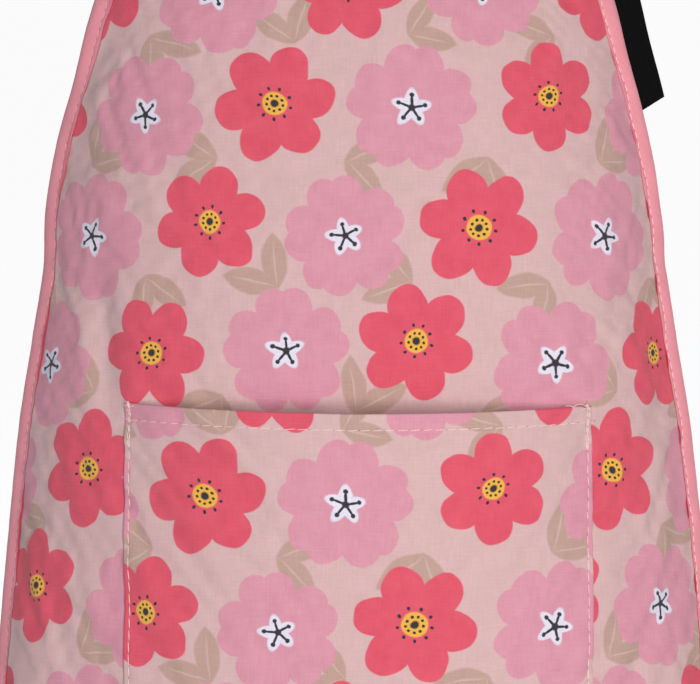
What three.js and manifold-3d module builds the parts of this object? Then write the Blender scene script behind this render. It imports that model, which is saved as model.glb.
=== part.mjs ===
// A child's bib apron in its worn shape. A printed front panel curves round the body, a neck strap carries it, and
// waist ties close it with a bow at the back. Millimetres, +Z up, the wearer faces -Y, +X is on the right seen from
// the front, and the origin is the nape of the neck, where the inside of the neck strap rests.
import * as THREE from "three";
import { mergeVertices } from "three/addons/utils/BufferGeometryUtils.js";
import Module from "manifold-3d";

const wasm = await Module();
wasm.setup();

// Cloth and gaps
const clothWall = 1; // one layer of cloth
const strapWall = 1.2; // a strap is two layers, pressed flat
const sewnGap = 0.3; // between pieces that are sewn together

// Levels: the bib's top edge is measured from the nape, and every drop is measured down the panel from that edge
const bibTopBelowNape = 132;
const apronLength = 533;
const waistDrop = 210;
const topHem = 14; // turned to the back and stitched
const bottomHem = 22;
const bibTopDip = 5; // the bib's top edge sags between its corners

// Patch pocket
const pocketHalfWidth = 109;
const pocketShift = 2; // its middle lies this far right of the panel's
const pocketDrop = 277;
const pocketHeight = 165;
const pocketHem = 8;
const pocketMouthSag = 3.2;
const pocketGape = 15; // how far the middle of the mouth stands off the panel

// Trim
const bindingWidth = 11;
const labelLength = 58;
const labelWidth = 13;
const labelDrop = 79; // of its upper end
const labelTurn = 25; // degrees that it leans towards the back
const strapWidth = 22;
const tieWidth = 20;

// One row for each level of the panel. halfFront is half its width seen from the front, edgeTurn the degrees by which
// the cloth has turned towards the back at its side edge, and front how far its middle stands before the nape.
const panelSections = [
  { drop: 0, halfFront: 96, edgeTurn: 38, front: 112 },
  { drop: 91, halfFront: 121, edgeTurn: 52, front: 131 },
  { drop: 139, halfFront: 135.5, edgeTurn: 59, front: 138 },
  { drop: 188, halfFront: 145, edgeTurn: 65, front: 144 },
  { drop: 216, halfFront: 146.5, edgeTurn: 66, front: 146 },
  { drop: 245, halfFront: 150.5, edgeTurn: 66, front: 148 },
  { drop: 285, halfFront: 157, edgeTurn: 66, front: 150 },
  { drop: 350, halfFront: 163.5, edgeTurn: 65, front: 151 },
  { drop: 400, halfFront: 166.5, edgeTurn: 63, front: 152 },
  { drop: 533, halfFront: 173, edgeTurn: 58, front: 153 },
];
const turnPower = 1.6; // the cloth stays nearly flat in front and turns mostly near its edges

// One row for each soft fold: where its middle runs (flat distance from the centre line), how far that drifts for each
// mm of drop, the drops where it starts and ends, its width, and its depth (below 0 is a dent). A flute that is fullest
// at the hem ends below it.
const folds = [
  { across: -129, drift: 0.1, start: 180, end: 310, width: 12, depth: -2.2 },
  { across: 126, drift: 0.25, start: 60, end: 240, width: 14, depth: -2 },
  { across: 142, drift: 0.2, start: 190, end: 330, width: 12, depth: -2 },
  { across: -168, drift: -0.02, start: 300, end: 766, width: 24, depth: 7 },
  { across: -112, drift: 0.03, start: 350, end: 716, width: 26, depth: -6 },
  { across: -46, drift: 0.02, start: 446, end: 620, width: 30, depth: 5 },
  { across: 24, drift: -0.03, start: 446, end: 620, width: 28, depth: -4 },
  { across: 84, drift: 0.02, start: 420, end: 646, width: 26, depth: 5 },
  { across: 138, drift: 0.03, start: 340, end: 726, width: 24, depth: -6 },
  { across: 180, drift: 0.02, start: 300, end: 766, width: 22, depth: 6 },
];

// The right half of the neck strap above the bib. x, y and z are its middle line from the nape, facing the degrees from
// straight ahead, round the right side to the back, in which its outer face looks, and wide its share of the full width.
const neckRoute = [
  { x: 74, y: -90, z: -120, facing: 27, wide: 1 },
  { x: 68, y: -65, z: -76, facing: 56, wide: 1 },
  { x: 53, y: -33, z: -36, facing: 92, wide: 1 },
  { x: 29, y: -8, z: -10, facing: 138, wide: 1 },
  { x: 0, y: 0.6, z: 0, facing: 180, wide: 1 },
];

// The right tie behind its sewn end, in the same columns. The run goes round the body to the knot, the loop is its half
// of the bow, and the tail hangs free. All three are gathered where they enter the knot.
const tieRun = [
  { x: 149, y: -46, z: -342, facing: 88, wide: 1 },
  { x: 134, y: -17, z: -342, facing: 122, wide: 1 },
  { x: 96, y: 5, z: -343, facing: 155, wide: 1 },
  { x: 45, y: 17, z: -344, facing: 172, wide: 0.95 },
  { x: 5, y: 22, z: -345, facing: 178, wide: 0.7 },
];
const tieLoop = [
  { x: 4, y: 36, z: -343, facing: 185, wide: 0.6 },
  { x: 26, y: 40, z: -345, facing: 178, wide: 0.85 },
  { x: 58, y: 44, z: -354, facing: 170, wide: 1 },
  { x: 80, y: 42, z: -363, facing: 130, wide: 1 },
  { x: 85, y: 35, z: -366, facing: 80, wide: 1 },
  { x: 78, y: 29, z: -364, facing: 25, wide: 1 },
  { x: 56, y: 27, z: -357, facing: 5, wide: 1 },
  { x: 26, y: 28, z: -349, facing: 0, wide: 0.85 },
  { x: 4, y: 29, z: -346, facing: 0, wide: 0.6 },
];
const tieTail = [
  { x: 5.5, y: 33, z: -352, facing: 180, wide: 0.4 },
  { x: 11, y: 37, z: -374, facing: 178, wide: 0.75 },
  { x: 21, y: 35, z: -425, facing: 186, wide: 1 },
  { x: 27, y: 31, z: -490, facing: 176, wide: 1 },
  { x: 30, y: 30, z: -556, facing: 184, wide: 1 },
];
const leftBowShare = 0.94; // the left loop and tail came out a little shorter
const knot = { halfGap: 0.15, width: 10, front: 20, depth: 19, height: 27, middle: -346, corner: 4 };

// Colours
const palette = {
  printedCloth: new THREE.MeshStandardMaterial({ color: 0xe6c3c2, roughness: 0.85, metalness: 0 }),
  pinkTape: new THREE.MeshStandardMaterial({ color: 0xee93a3, roughness: 0.75, metalness: 0 }),
  blackSatin: new THREE.MeshStandardMaterial({ color: 0x121214, roughness: 0.6, metalness: 0 }),
};

// Reads a table of rows at any value of its key column, on a smooth cubic through the rows.
function tableReader(rows, key, columns) {
  const places = rows.map((row) => row[key]);
  const values = rows.flatMap((row) => columns.map((column) => row[column]));
  const cubic = new THREE.CubicInterpolant(places, values, columns.length);
  return (place) => {
    const found = cubic.evaluate(THREE.MathUtils.clamp(place, places[0], places[places.length - 1]));
    return Object.fromEntries(columns.map((column, i) => [column, found[i]]));
  };
}

const sectionAt = tableReader(panelSections, "drop", ["halfFront", "edgeTurn", "front"]);

// A horizontal section of the panel, walked from the centre line by its flat length: the cloth's turn grows with the
// distance, so the section keeps that length whatever its shape.
function walkSection(flatLength, halfFlat, edgeTurn) {
  const steps = 24;
  const turnAt = (flat) => THREE.MathUtils.degToRad(edgeTurn) * (flat / halfFlat) ** turnPower;
  const walked = { sideways: 0, back: 0, turn: turnAt(flatLength) };
  for (let i = 0; i < steps; i++) {
    const turn = turnAt((flatLength * (i + 0.5)) / steps);
    walked.sideways += (Math.cos(turn) * flatLength) / steps;
    walked.back += (Math.sin(turn) * flatLength) / steps;
  }
  return walked;
}

// Half the panel's flat width at a drop, from the width that it shows in front.
function halfFlatAt(drop) {
  const { halfFront, edgeTurn } = sectionAt(drop);
  return halfFront / walkSection(1, 1, edgeTurn).sideways;
}

function foldLift(across, drop) {
  let lift = 0;
  for (const fold of folds) {
    if (drop <= fold.start || drop >= fold.end) continue;
    const along = Math.sin((Math.PI * (drop - fold.start)) / (fold.end - fold.start)) ** 2;
    const off = (across - fold.across - fold.drift * (drop - fold.start)) / fold.width;
    lift += fold.depth * along * Math.exp(-off * off);
  }
  return lift;
}

// The direction that the panel's outer face looks in.
function panelNormal(across, drop) {
  const { turn } = walkSection(Math.abs(across), halfFlatAt(drop), sectionAt(drop).edgeTurn);
  return new THREE.Vector3(Math.sign(across) * Math.sin(turn), -Math.cos(turn), 0);
}

// A point of the panel's middle surface, or lifted off it: across is the flat distance from the centre line.
function panelPoint(across, drop, lift = 0) {
  const section = sectionAt(drop);
  const halfFlat = halfFlatAt(drop);
  const walked = walkSection(Math.abs(across), halfFlat, section.edgeTurn);
  const dip = bibTopDip * (1 - (across / halfFlat) ** 2) * Math.max(0, 1 - drop / waistDrop) ** 2;
  const point = new THREE.Vector3(
    Math.sign(across) * walked.sideways,
    walked.back - section.front,
    -bibTopBelowNape - drop - dip,
  );
  return point.addScaledVector(panelNormal(across, drop), lift + foldLift(across, drop));
}

// Evenly spaced values from first to last.
function spread(first, last, count) {
  return Array.from({ length: count }, (unused, i) => first + ((last - first) * i) / (count - 1));
}

// A closed wall between an outer and an inner grid of points with the same rows and columns.
function wallGeometry(outer, inner) {
  const rows = outer.length;
  const columns = outer[0].length;
  const points = [...outer.flat(), ...inner.flat()];
  const outerAt = (row, column) => row * columns + column;
  const innerAt = (row, column) => rows * columns + row * columns + column;
  const triangles = [];
  const quad = (a, b, c, d) => triangles.push(a, b, c, a, c, d);
  for (let r = 0; r < rows - 1; r++) {
    for (let c = 0; c < columns - 1; c++) {
      quad(outerAt(r, c), outerAt(r + 1, c), outerAt(r + 1, c + 1), outerAt(r, c + 1));
      quad(innerAt(r, c), innerAt(r, c + 1), innerAt(r + 1, c + 1), innerAt(r + 1, c));
    }
    quad(outerAt(r, 0), innerAt(r, 0), innerAt(r + 1, 0), outerAt(r + 1, 0));
    const last = columns - 1;
    quad(outerAt(r, last), outerAt(r + 1, last), innerAt(r + 1, last), innerAt(r, last));
  }
  for (let c = 0; c < columns - 1; c++) {
    quad(outerAt(0, c), outerAt(0, c + 1), innerAt(0, c + 1), innerAt(0, c));
    const last = rows - 1;
    quad(outerAt(last, c), innerAt(last, c), innerAt(last, c + 1), outerAt(last, c + 1));
  }
  return facingOut(points, triangles);
}

// A geometry from points and triangles, turned round if its faces point inwards.
function facingOut(points, triangles) {
  let volume = 0;
  for (let i = 0; i < triangles.length; i += 3) {
    const [a, b, c] = triangles.slice(i, i + 3).map((n) => points[n]);
    volume += a.dot(new THREE.Vector3().crossVectors(b, c));
  }
  const index = volume < 0 ? [...triangles].reverse() : triangles;
  return new THREE.BufferGeometry().setFromPoints(points).setIndex(index);
}

// The drops of the panel's rows: close together at the hems' stitched edges, where the back face steps.
const hemStep = 1;
const panelRows = [
  0,
  topHem - hemStep,
  topHem,
  ...spread(30, apronLength - bottomHem - 16, 31),
  apronLength - bottomHem,
  apronLength - bottomHem + hemStep,
  apronLength,
];

// Half the panel's thickness towards the back, where a hem adds a second layer.
function backHalfWall(drop) {
  const inHem = drop < topHem - hemStep / 2 || drop > apronLength - bottomHem + hemStep / 2;
  return clothWall / 2 + (inHem ? clothWall : 0);
}

function makeFrontPanel() {
  const innerColumns = 27;
  const columnsAt = (drop) => {
    const half = halfFlatAt(drop);
    const inner = spread(-half + bindingWidth, half - bindingWidth, innerColumns);
    return [-half, -half + bindingWidth / 2, ...inner, half - bindingWidth / 2, half];
  };
  return wallGeometry(
    panelRows.map((drop) => columnsAt(drop).map((across) => panelPoint(across, drop, clothWall / 2))),
    panelRows.map((drop) => columnsAt(drop).map((across) => panelPoint(across, drop, -backHalfWall(drop)))),
  );
}

// The tape folded round a side edge. side is -1 on the left and 1 on the right, and each chain is the tape's section
// from its stitched front edge, round the panel's edge, to its back edge.
function makeBinding(side) {
  const chain = (drop, wall) => {
    const half = halfFlatAt(drop);
    const front = clothWall / 2 + sewnGap + wall;
    const back = -(backHalfWall(drop) + sewnGap + wall);
    const past = sewnGap + wall;
    const places = [
      [half - bindingWidth, front],
      [half - bindingWidth / 2, front],
      [half, front],
      [half + past, front / 2],
      [half + past, back / 2],
      [half, back],
      [half - bindingWidth / 2, back],
      [half - bindingWidth, back],
    ];
    return places.map(([across, lift]) => panelPoint(side * across, drop, lift));
  };
  return wallGeometry(
    panelRows.map((drop) => chain(drop, clothWall)),
    panelRows.map((drop) => chain(drop, 0)),
  );
}

// How far the pocket's middle surface stands off the panel's.
function pocketLift(across, share) {
  const belly = Math.max(0, 1 - (across / pocketHalfWidth) ** 2) ** 1.25;
  return clothWall + sewnGap + pocketGape * belly * (1 - share) ** 1.15;
}

function makePocket() {
  const columns = spread(-pocketHalfWidth, pocketHalfWidth, 19);
  const rows = [0, pocketHem - hemStep, pocketHem, ...spread(24, pocketHeight, 10)];
  const surface = (down, wall) =>
    columns.map((across) => {
      const share = down / pocketHeight;
      const sag = pocketMouthSag * (1 - (across / pocketHalfWidth) ** 2) * (1 - share);
      return panelPoint(across + pocketShift, pocketDrop + down + sag, pocketLift(across, share) + wall);
    });
  // The hem's second layer lies in front of the sewn edges' plane, so that the pocket's sides stay clear of the panel.
  const hemLayer = (down) => (down < pocketHem - hemStep / 2 ? clothWall : 0);
  return wallGeometry(
    rows.map((down) => surface(down, clothWall / 2 + hemLayer(down))),
    rows.map((down) => surface(down, -clothWall / 2)),
  );
}

// A blank woven label, caught in the right binding and standing out sideways.
function makeLabel() {
  const turn = THREE.MathUtils.degToRad(labelTurn);
  const outwards = new THREE.Vector3(Math.cos(turn), Math.sin(turn), 0);
  const facing = new THREE.Vector3(Math.sin(turn), -Math.cos(turn), 0);
  const baseGap = 0.8;
  const slant = 5; // the outer edge is set this much higher
  const rows = spread(labelDrop, labelDrop + labelLength, 9);
  const surface = (drop, lift) =>
    [0, labelWidth / 2, labelWidth].map((out) =>
      panelPoint(halfFlatAt(drop) + sewnGap + clothWall + baseGap, drop)
        .addScaledVector(outwards, out)
        .addScaledVector(facing, lift)
        .add(new THREE.Vector3(0, 0, (slant * out) / labelWidth)),
    );
  return wallGeometry(
    rows.map((drop) => surface(drop, clothWall / 2)),
    rows.map((drop) => surface(drop, -clothWall / 2)),
  );
}

// A flat strap along a route of rows with x, y, z, facing and wide.
function makeStrap(route, fullWidth, steps) {
  const curve = new THREE.CatmullRomCurve3(route.map((row) => new THREE.Vector3(row.x, row.y, row.z)));
  const numbered = route.map((row, i) => ({ ...row, share: i / (route.length - 1) }));
  const looks = tableReader(numbered, "share", ["facing", "wide"]);
  const face = (wall) =>
    spread(0, 1, steps + 1).map((share) => {
      const { facing, wide } = looks(share);
      const along = curve.getTangent(share);
      const outwards = new THREE.Vector3(
        Math.sin(THREE.MathUtils.degToRad(facing)),
        -Math.cos(THREE.MathUtils.degToRad(facing)),
        0,
      );
      outwards.addScaledVector(along, -outwards.dot(along)).normalize();
      const sideways = new THREE.Vector3().crossVectors(along, outwards);
      return [-0.5, 0.5].map((edge) =>
        curve
          .getPoint(share)
          .addScaledVector(sideways, edge * wide * fullWidth)
          .addScaledVector(outwards, wall),
      );
    });
  return wallGeometry(face(strapWall / 2), face(-strapWall / 2));
}

const mirrored = (route) => route.map((row) => ({ ...row, x: -row.x, facing: -row.facing }));

// A route's row on the inside of the panel, where a strap's end is sewn.
function sewnRow(across, drop, behind) {
  const { x, y, z } = panelPoint(across, drop, -behind);
  const normal = panelNormal(across, drop);
  return { x, y, z, facing: THREE.MathUtils.radToDeg(Math.atan2(normal.x, -normal.y)), wide: 1 };
}

function makeNeckStrap() {
  const setIn = 24; // the strap's middle from the bib's side edge
  const behind = 3.6;
  const overlap = [20, 6].map((drop) => sewnRow(halfFlatAt(drop) - setIn, drop, behind));
  const right = [...overlap, ...neckRoute];
  const left = mirrored(right).reverse().slice(1);
  const turnedOn = left.map((row) => ({ ...row, facing: row.facing + 360 }));
  return makeStrap([...right, ...turnedOn], strapWidth, 64);
}

// Joins closed geometries into one.
function joined(geometries) {
  const solids = geometries.map((geometry) => {
    const bare = new THREE.BufferGeometry();
    bare.setAttribute("position", geometry.getAttribute("position")).setIndex(geometry.index);
    const merged = mergeVertices(bare, 1e-4);
    return new wasm.Manifold(
      new wasm.Mesh({
        numProp: 3,
        vertProperties: merged.getAttribute("position").array,
        triVerts: new Uint32Array(merged.index.array),
      }),
    );
  });
  const mesh = solids.reduce((sum, solid) => sum.add(solid)).getMesh();
  return new THREE.BufferGeometry()
    .setAttribute("position", new THREE.BufferAttribute(mesh.vertProperties, 3))
    .setIndex(new THREE.BufferAttribute(mesh.triVerts, 1));
}

// One half of the knot, with rounded outer corners.
function makeHalfKnot() {
  const outline = new THREE.Shape();
  const { width, height, corner } = knot;
  outline.moveTo(knot.halfGap, -height / 2);
  outline.lineTo(width - corner, -height / 2);
  outline.quadraticCurveTo(width, -height / 2, width, -height / 2 + corner);
  outline.lineTo(width, height / 2 - corner);
  outline.quadraticCurveTo(width, height / 2, width - corner, height / 2);
  outline.lineTo(knot.halfGap, height / 2);
  const block = new THREE.ExtrudeGeometry(outline, { depth: knot.depth, bevelEnabled: false, curveSegments: 4 });
  block.rotateX(Math.PI / 2).translate(0, knot.front + knot.depth, knot.middle);
  block.deleteAttribute("normal");
  block.deleteAttribute("uv");
  return mergeVertices(block, 1e-4);
}

// The ties differ in side and in the share of the bow's size.
function makeTie(side, bowShare) {
  const behind = 4;
  const half = halfFlatAt(waistDrop);
  const sewnEnd = [half - 17, half - 2].map((across) => sewnRow(across, waistDrop, behind));
  const inBow = (row) => ({
    ...row,
    x: row.x * bowShare,
    z: knot.middle + (row.z - knot.middle) * bowShare,
  });
  const pieces = [
    makeStrap([...sewnEnd, ...tieRun], tieWidth, 28),
    makeStrap(tieLoop.map(inBow), tieWidth, 30),
    makeStrap(tieTail.map(inBow), tieWidth, 18),
    makeHalfKnot(),
  ];
  const tie = joined(pieces);
  return side < 0 ? mirroredGeometry(tie) : tie;
}

// A geometry mirrored to the other side, with its triangles turned back.
function mirroredGeometry(geometry) {
  const flipped = geometry.clone().scale(-1, 1, 1);
  return flipped.setIndex(new THREE.BufferAttribute(flipped.index.array.slice().reverse(), 1));
}

function named(name, geometry, material) {
  const mesh = new THREE.Mesh(geometry, material);
  mesh.name = name;
  return mesh;
}

const apron = new THREE.Group();
apron.add(
  named("front_panel", makeFrontPanel(), palette.printedCloth),
  named("pocket", makePocket(), palette.printedCloth),
  named("left_binding", makeBinding(-1), palette.pinkTape),
  named("right_binding", makeBinding(1), palette.pinkTape),
  named("side_label", makeLabel(), palette.blackSatin),
  named("neck_strap", makeNeckStrap(), palette.pinkTape),
  named("left_tie", makeTie(-1, leftBowShare), palette.pinkTape),
  named("right_tie", makeTie(1, 1), palette.pinkTape),
);

export default apron;
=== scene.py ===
# A child's bib apron in printed cotton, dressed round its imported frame
import math
import bpy
import numpy as np
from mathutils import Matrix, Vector


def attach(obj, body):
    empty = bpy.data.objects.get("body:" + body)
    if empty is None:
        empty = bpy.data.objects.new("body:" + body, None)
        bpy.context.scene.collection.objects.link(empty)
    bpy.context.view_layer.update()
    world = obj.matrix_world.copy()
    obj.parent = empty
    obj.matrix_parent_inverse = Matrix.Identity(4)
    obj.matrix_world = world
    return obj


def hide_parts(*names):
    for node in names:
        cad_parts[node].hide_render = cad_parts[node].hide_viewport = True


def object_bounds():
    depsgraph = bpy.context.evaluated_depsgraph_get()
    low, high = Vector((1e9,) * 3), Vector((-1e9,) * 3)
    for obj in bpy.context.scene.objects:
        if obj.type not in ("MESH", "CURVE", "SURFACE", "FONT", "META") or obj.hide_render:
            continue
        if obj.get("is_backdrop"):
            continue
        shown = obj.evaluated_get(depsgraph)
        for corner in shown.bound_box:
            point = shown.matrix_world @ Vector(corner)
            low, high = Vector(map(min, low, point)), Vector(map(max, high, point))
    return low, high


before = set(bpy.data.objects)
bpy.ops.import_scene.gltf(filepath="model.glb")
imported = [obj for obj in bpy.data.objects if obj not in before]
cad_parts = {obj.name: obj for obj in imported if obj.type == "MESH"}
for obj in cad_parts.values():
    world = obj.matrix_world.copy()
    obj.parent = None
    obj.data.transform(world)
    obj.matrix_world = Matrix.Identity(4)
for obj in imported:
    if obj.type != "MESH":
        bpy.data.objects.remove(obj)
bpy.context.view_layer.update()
print("frame loaded with", len(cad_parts), "nodes")

mm = 0.001  # every size below is in millimetres, and meshes are made in metres
scene = bpy.context.scene

# Camera: level, in front of the pocket
shot = {
    "imageWidth": 700,  # pixels of the picture's frame
    "mmPerPixel": 0.45,  # at the front of the pocket
    "frontPlane": -150,
    "distance": 1450,
    "middle": -1.8,
    "height": -379.8,
    "sensor": 36,
}
cameraData = bpy.data.cameras.new("camera")
cameraData.sensor_width = shot["sensor"]
cameraData.lens = shot["sensor"] * shot["distance"] / (shot["imageWidth"] * shot["mmPerPixel"])
camera = bpy.data.objects.new("camera", cameraData)
camera.location = (
    shot["middle"] * mm,
    (shot["frontPlane"] - shot["distance"]) * mm,
    shot["height"] * mm,
)
camera.rotation_euler = (math.pi / 2, 0, 0)
scene.collection.objects.link(camera)
scene.camera = camera
print("camera placed, lens", round(cameraData.lens, 1))


# The cut and hang of the apron, shared by every piece
cut = {
    "topBelowNape": 132,
    "length": 533,
    "waist": 210,
    "topDip": 5,
    "turnPower": 1.6,  # higher numbers leave the front flatter
    "turnSteps": 24,
    "cloth": 0.6,  # thickness of one layer
    # drop, half the width seen from the front, degrees of turn at the edge, how far the middle stands forward
    "sections": [
        (0, 96, 38, 112),
        (91, 121, 52, 131),
        (139, 135.5, 59, 138),
        (188, 145, 65, 144),
        (216, 146.5, 66, 146),
        (245, 150.5, 66, 148),
        (285, 157, 66, 150),
        (350, 163.5, 65, 151),
        (400, 166.5, 63, 152),
        (533, 173, 58, 153),
    ],
    # across, drift for each mm of drop, start, end, width, depth
    "folds": [
        (-129, 0.1, 180, 310, 12, -2.2),
        (126, 0.25, 60, 240, 14, -2),
        (142, 0.2, 190, 330, 12, -2),
        (-168, -0.02, 300, 766, 24, 7),
        (-112, 0.03, 350, 716, 26, -6),
        (-46, 0.02, 446, 620, 30, 5),
        (24, -0.03, 446, 620, 28, -4),
        (84, 0.02, 420, 646, 26, 5),
        (138, 0.03, 340, 726, 24, -6),
        (180, 0.02, 300, 766, 22, 6),
    ],
    # start across and drop, end across and drop, width, depth
    "wrinkles": [
        (-160, 156, -84, 112, 12, 2.4),
        (-164, 178, -104, 142, 9, -1.6),
        (-150, 122, -96, 92, 9, -1.4),
        (-124, 200, -117, 292, 6, -1.1),
        (-136, 212, -130, 300, 7, 0.8),
        (112, 134, 152, 172, 5, 1.0),
        (102, 154, 150, 196, 5, -0.9),
        (116, 186, 162, 214, 4.5, 0.9),
        (120, 212, 160, 238, 4.5, -0.8),
        (98, 232, 152, 252, 6, 0.7),
        (-186, 322, -160, 350, 4, 0.8),
        (-188, 350, -156, 372, 4, -0.8),
        (-186, 376, -150, 392, 4.5, 0.8),
        (-184, 404, -150, 430, 5, -0.8),
        (150, 300, 186, 286, 5, 0.7),
        (146, 330, 188, 322, 5, -0.7),
    ],
    "wrinkleEnds": 0.8,  # lower numbers give blunter ends
    "edgeTuck": (0.9, 0.2),  # the left and right bindings draw the edges in
    "tuckReach": 40,
    # across share of half, drop, reach across, reach down, depth: ties and bindings tug at the edges
    "tugs": [
        (1, 209, 16, 7, -0.6),
        (-1, 207, 45, 18, -0.9),
        (-1, 97, 45, 17, 0.9),
        (-1, 129, 45, 17, -1.2),
        (-1, 345, 40, 60, -0.6),
        (1, 93, 45, 15, 1.2),
        (1, 185, 45, 17, -0.9),
    ],
    "edgeLoose": 0.15,  # share of the soft creases that the bindings leave at the edges
    "looseRun": (4, 30),  # from the edge, where that share grows to all of them
}


def smoothRead(rows, at):  # a smooth cubic through rows whose first column is the key
    table = np.array(rows, float)
    keys, values = table[:, 0], table[:, 1:]
    secants = np.diff(values, axis=0) / np.diff(keys)[:, None]
    slopes = np.vstack([secants[:1], (secants[1:] + secants[:-1]) / 2, secants[-1:]])
    at = np.clip(np.asarray(at, float), keys[0], keys[-1])
    low = np.clip(np.searchsorted(keys, at, side="right") - 1, 0, len(keys) - 2)
    span = (keys[low + 1] - keys[low])[..., None]
    p = (at - keys[low])[..., None] / span
    found = (2 * p**3 - 3 * p**2 + 1) * values[low] + (3 * p**2 - 2 * p**3) * values[low + 1]
    found += (p**3 - 2 * p**2 + p) * slopes[low] * span + (p**3 - p**2) * slopes[low + 1] * span
    return np.moveaxis(found, -1, 0)


sectionSteps = (np.arange(cut["turnSteps"]) + 0.5) / cut["turnSteps"]


def halfFlat(drop):  # half the panel's flat width
    halfFront, edgeTurn = smoothRead(cut["sections"], drop)[:2]
    turns = np.radians(edgeTurn)[..., None] * sectionSteps ** cut["turnPower"]
    return halfFront / np.cos(turns).mean(-1)


def panelFrame(across, drop):  # point and outward direction of the smooth panel
    across, drop = np.broadcast_arrays(np.asarray(across, float), np.asarray(drop, float))
    edgeTurn, front = smoothRead(cut["sections"], drop)[1:]
    half = halfFlat(drop)
    share = np.abs(across) / half
    edge = np.radians(edgeTurn)
    turns = edge[..., None] * (share[..., None] * sectionSteps) ** cut["turnPower"]
    turn = edge * share ** cut["turnPower"]
    side = np.sign(across)
    dip = cut["topDip"] * (1 - share**2) * np.clip(1 - drop / cut["waist"], 0, None) ** 2
    x = side * np.abs(across) * np.cos(turns).mean(-1)
    y = np.abs(across) * np.sin(turns).mean(-1) - front
    z = -cut["topBelowNape"] - drop - dip
    normal = np.stack([side * np.sin(turn), -np.cos(turn), np.zeros_like(turn)], -1)
    return np.stack([x, y, z], -1), normal


def foldLift(across, drop):
    lift = 0
    for middle, drift, start, end, width, depth in cut["folds"]:
        share = np.clip((drop - start) / (end - start), 0, 1)
        off = (across - middle - drift * (drop - start)) / width
        lift += depth * np.sin(math.pi * share) ** 2 * np.exp(-(off**2))
    return lift


def wrinkleLift(across, drop):
    lift = 0
    for startAcross, startDrop, endAcross, endDrop, width, depth in cut["wrinkles"]:
        run = np.array([endAcross - startAcross, endDrop - startDrop], float)
        length = np.hypot(*run)
        run /= length
        along = ((across - startAcross) * run[0] + (drop - startDrop) * run[1]) / length
        aside = (drop - startDrop) * run[0] - (across - startAcross) * run[1]
        ends = np.sin(math.pi * np.clip(along, 0, 1)) ** cut["wrinkleEnds"]
        lift += depth * ends * np.exp(-((aside / width) ** 2))
    return lift


def tugLift(across, drop):
    half = halfFlat(drop)
    near = np.clip(1 - (half - np.abs(across)) / cut["tuckReach"], 0, 1)
    lift = -np.where(across < 0, *cut["edgeTuck"]) * near**2
    for edgeShare, middle, reachAcross, reachDown, depth in cut["tugs"]:
        off = ((across - edgeShare * half) / reachAcross) ** 2 + ((drop - middle) / reachDown) ** 2
        lift += depth * np.exp(-off)
    return lift


# Crumples: short soft creases left from folding, closer together beside the bindings
crumple = {
    "count": 190,
    "length": (8, 28),
    "width": (2.0, 3.8),
    "height": (0.15, 0.8),
    "bend": 0.3,
    "slope": (0.5, 0.7),  # mean and spread of their angle
    "leftHeight": 0.55,  # the left side hangs smoother
    "leftRun": (-0.4, 0.2),  # where that height grows to the full one
    "sideShare": 0.7,  # of them lie in the outer parts
    "outer": (0.5, 0.92),  # shares of the half width
    "leftOdds": 0.4,
    "topGap": 15,
    "bottomGap": 30,
    "seed": 3,
}


def crumpleRows():  # middle across as a share of half, drop, angle, half length, width, depth
    rng = np.random.default_rng(crumple["seed"])
    count = crumple["count"]
    inner, outer = crumple["outer"]
    odds = [crumple["leftOdds"], 1 - crumple["leftOdds"]]
    beside = rng.uniform(inner, outer, count) * rng.choice([-1, 1], count, p=odds)
    atSide = rng.uniform(0, 1, count) < crumple["sideShare"]
    across = np.where(atSide, beside, rng.uniform(-inner, inner, count))
    columns = [
        across,
        rng.uniform(crumple["topGap"], cut["length"] - crumple["bottomGap"], count),
        rng.normal(*crumple["slope"], count) * np.sign(across),
        rng.uniform(*crumple["length"], count) / 2,
        rng.uniform(*crumple["width"], count),
        rng.uniform(*crumple["height"], count) * rng.choice([-1, 1], count),
    ]
    return np.stack(columns, 1)


crumples = crumpleRows()


def crumpleLift(across, drop):
    lift = 0
    half = halfFlat(drop)
    for share, middle, angle, reach, width, depth in crumples:
        depth = depth * np.interp(share, crumple["leftRun"], [crumple["leftHeight"], 1])
        sideways, downwards = across - share * half, drop - middle
        along = (sideways * math.cos(angle) + downwards * math.sin(angle)) / reach
        aside = (downwards * math.cos(angle) - sideways * math.sin(angle)) / width
        lift += depth * np.exp(-(along**4) - (aside + crumple["bend"] * along**2) ** 2)
    return lift


# Small puckers that run out of a seam
pucker = {
    "spacing": 9,
    "width": (2.2, 5.0),
    "reach": (7, 30),
    "height": (0.12, 0.5),
    "slant": 0.5,
    "place": (0.1, 0.9),  # within its share of the seam
    "start": 5,  # they grow over this distance from the seam
    # the length of each seam and the seed of its puckers
    "seams": {
        "left": (cut["length"], 11),
        "right": (cut["length"], 12),
        "pocketLeft": (175, 13),
        "pocketRight": (175, 14),
        "pocketBottom": (220, 15),
        "bottomHem": (400, 16),
        "topHem": (240, 17),
    },
}


def puckerRows(length, seed):  # place along the seam, slant, width, reach, height
    rng = np.random.default_rng(seed)
    count = int(length / pucker["spacing"])
    columns = [
        (np.arange(count) + rng.uniform(*pucker["place"], count)) * pucker["spacing"],
        rng.uniform(-pucker["slant"], pucker["slant"], count),
        rng.uniform(*pucker["width"], count),
        rng.uniform(*pucker["reach"], count),
        rng.uniform(*pucker["height"], count) * rng.choice([-1, 1], count),
    ]
    return np.stack(columns, 1)


def puckerLift(along, away, rows):  # away is the distance from the seam, and below 0 nothing puckers
    lift = 0
    outside = np.clip(away, 0, None)
    for place, slant, width, reach, height in rows:
        off = (along - place - slant * outside) / (width * (1 + outside / (2 * reach)))
        lift += height * np.exp(-(off**2) - (outside / reach) ** 2)
    return lift * np.clip(away / pucker["start"], 0, 1)


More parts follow.
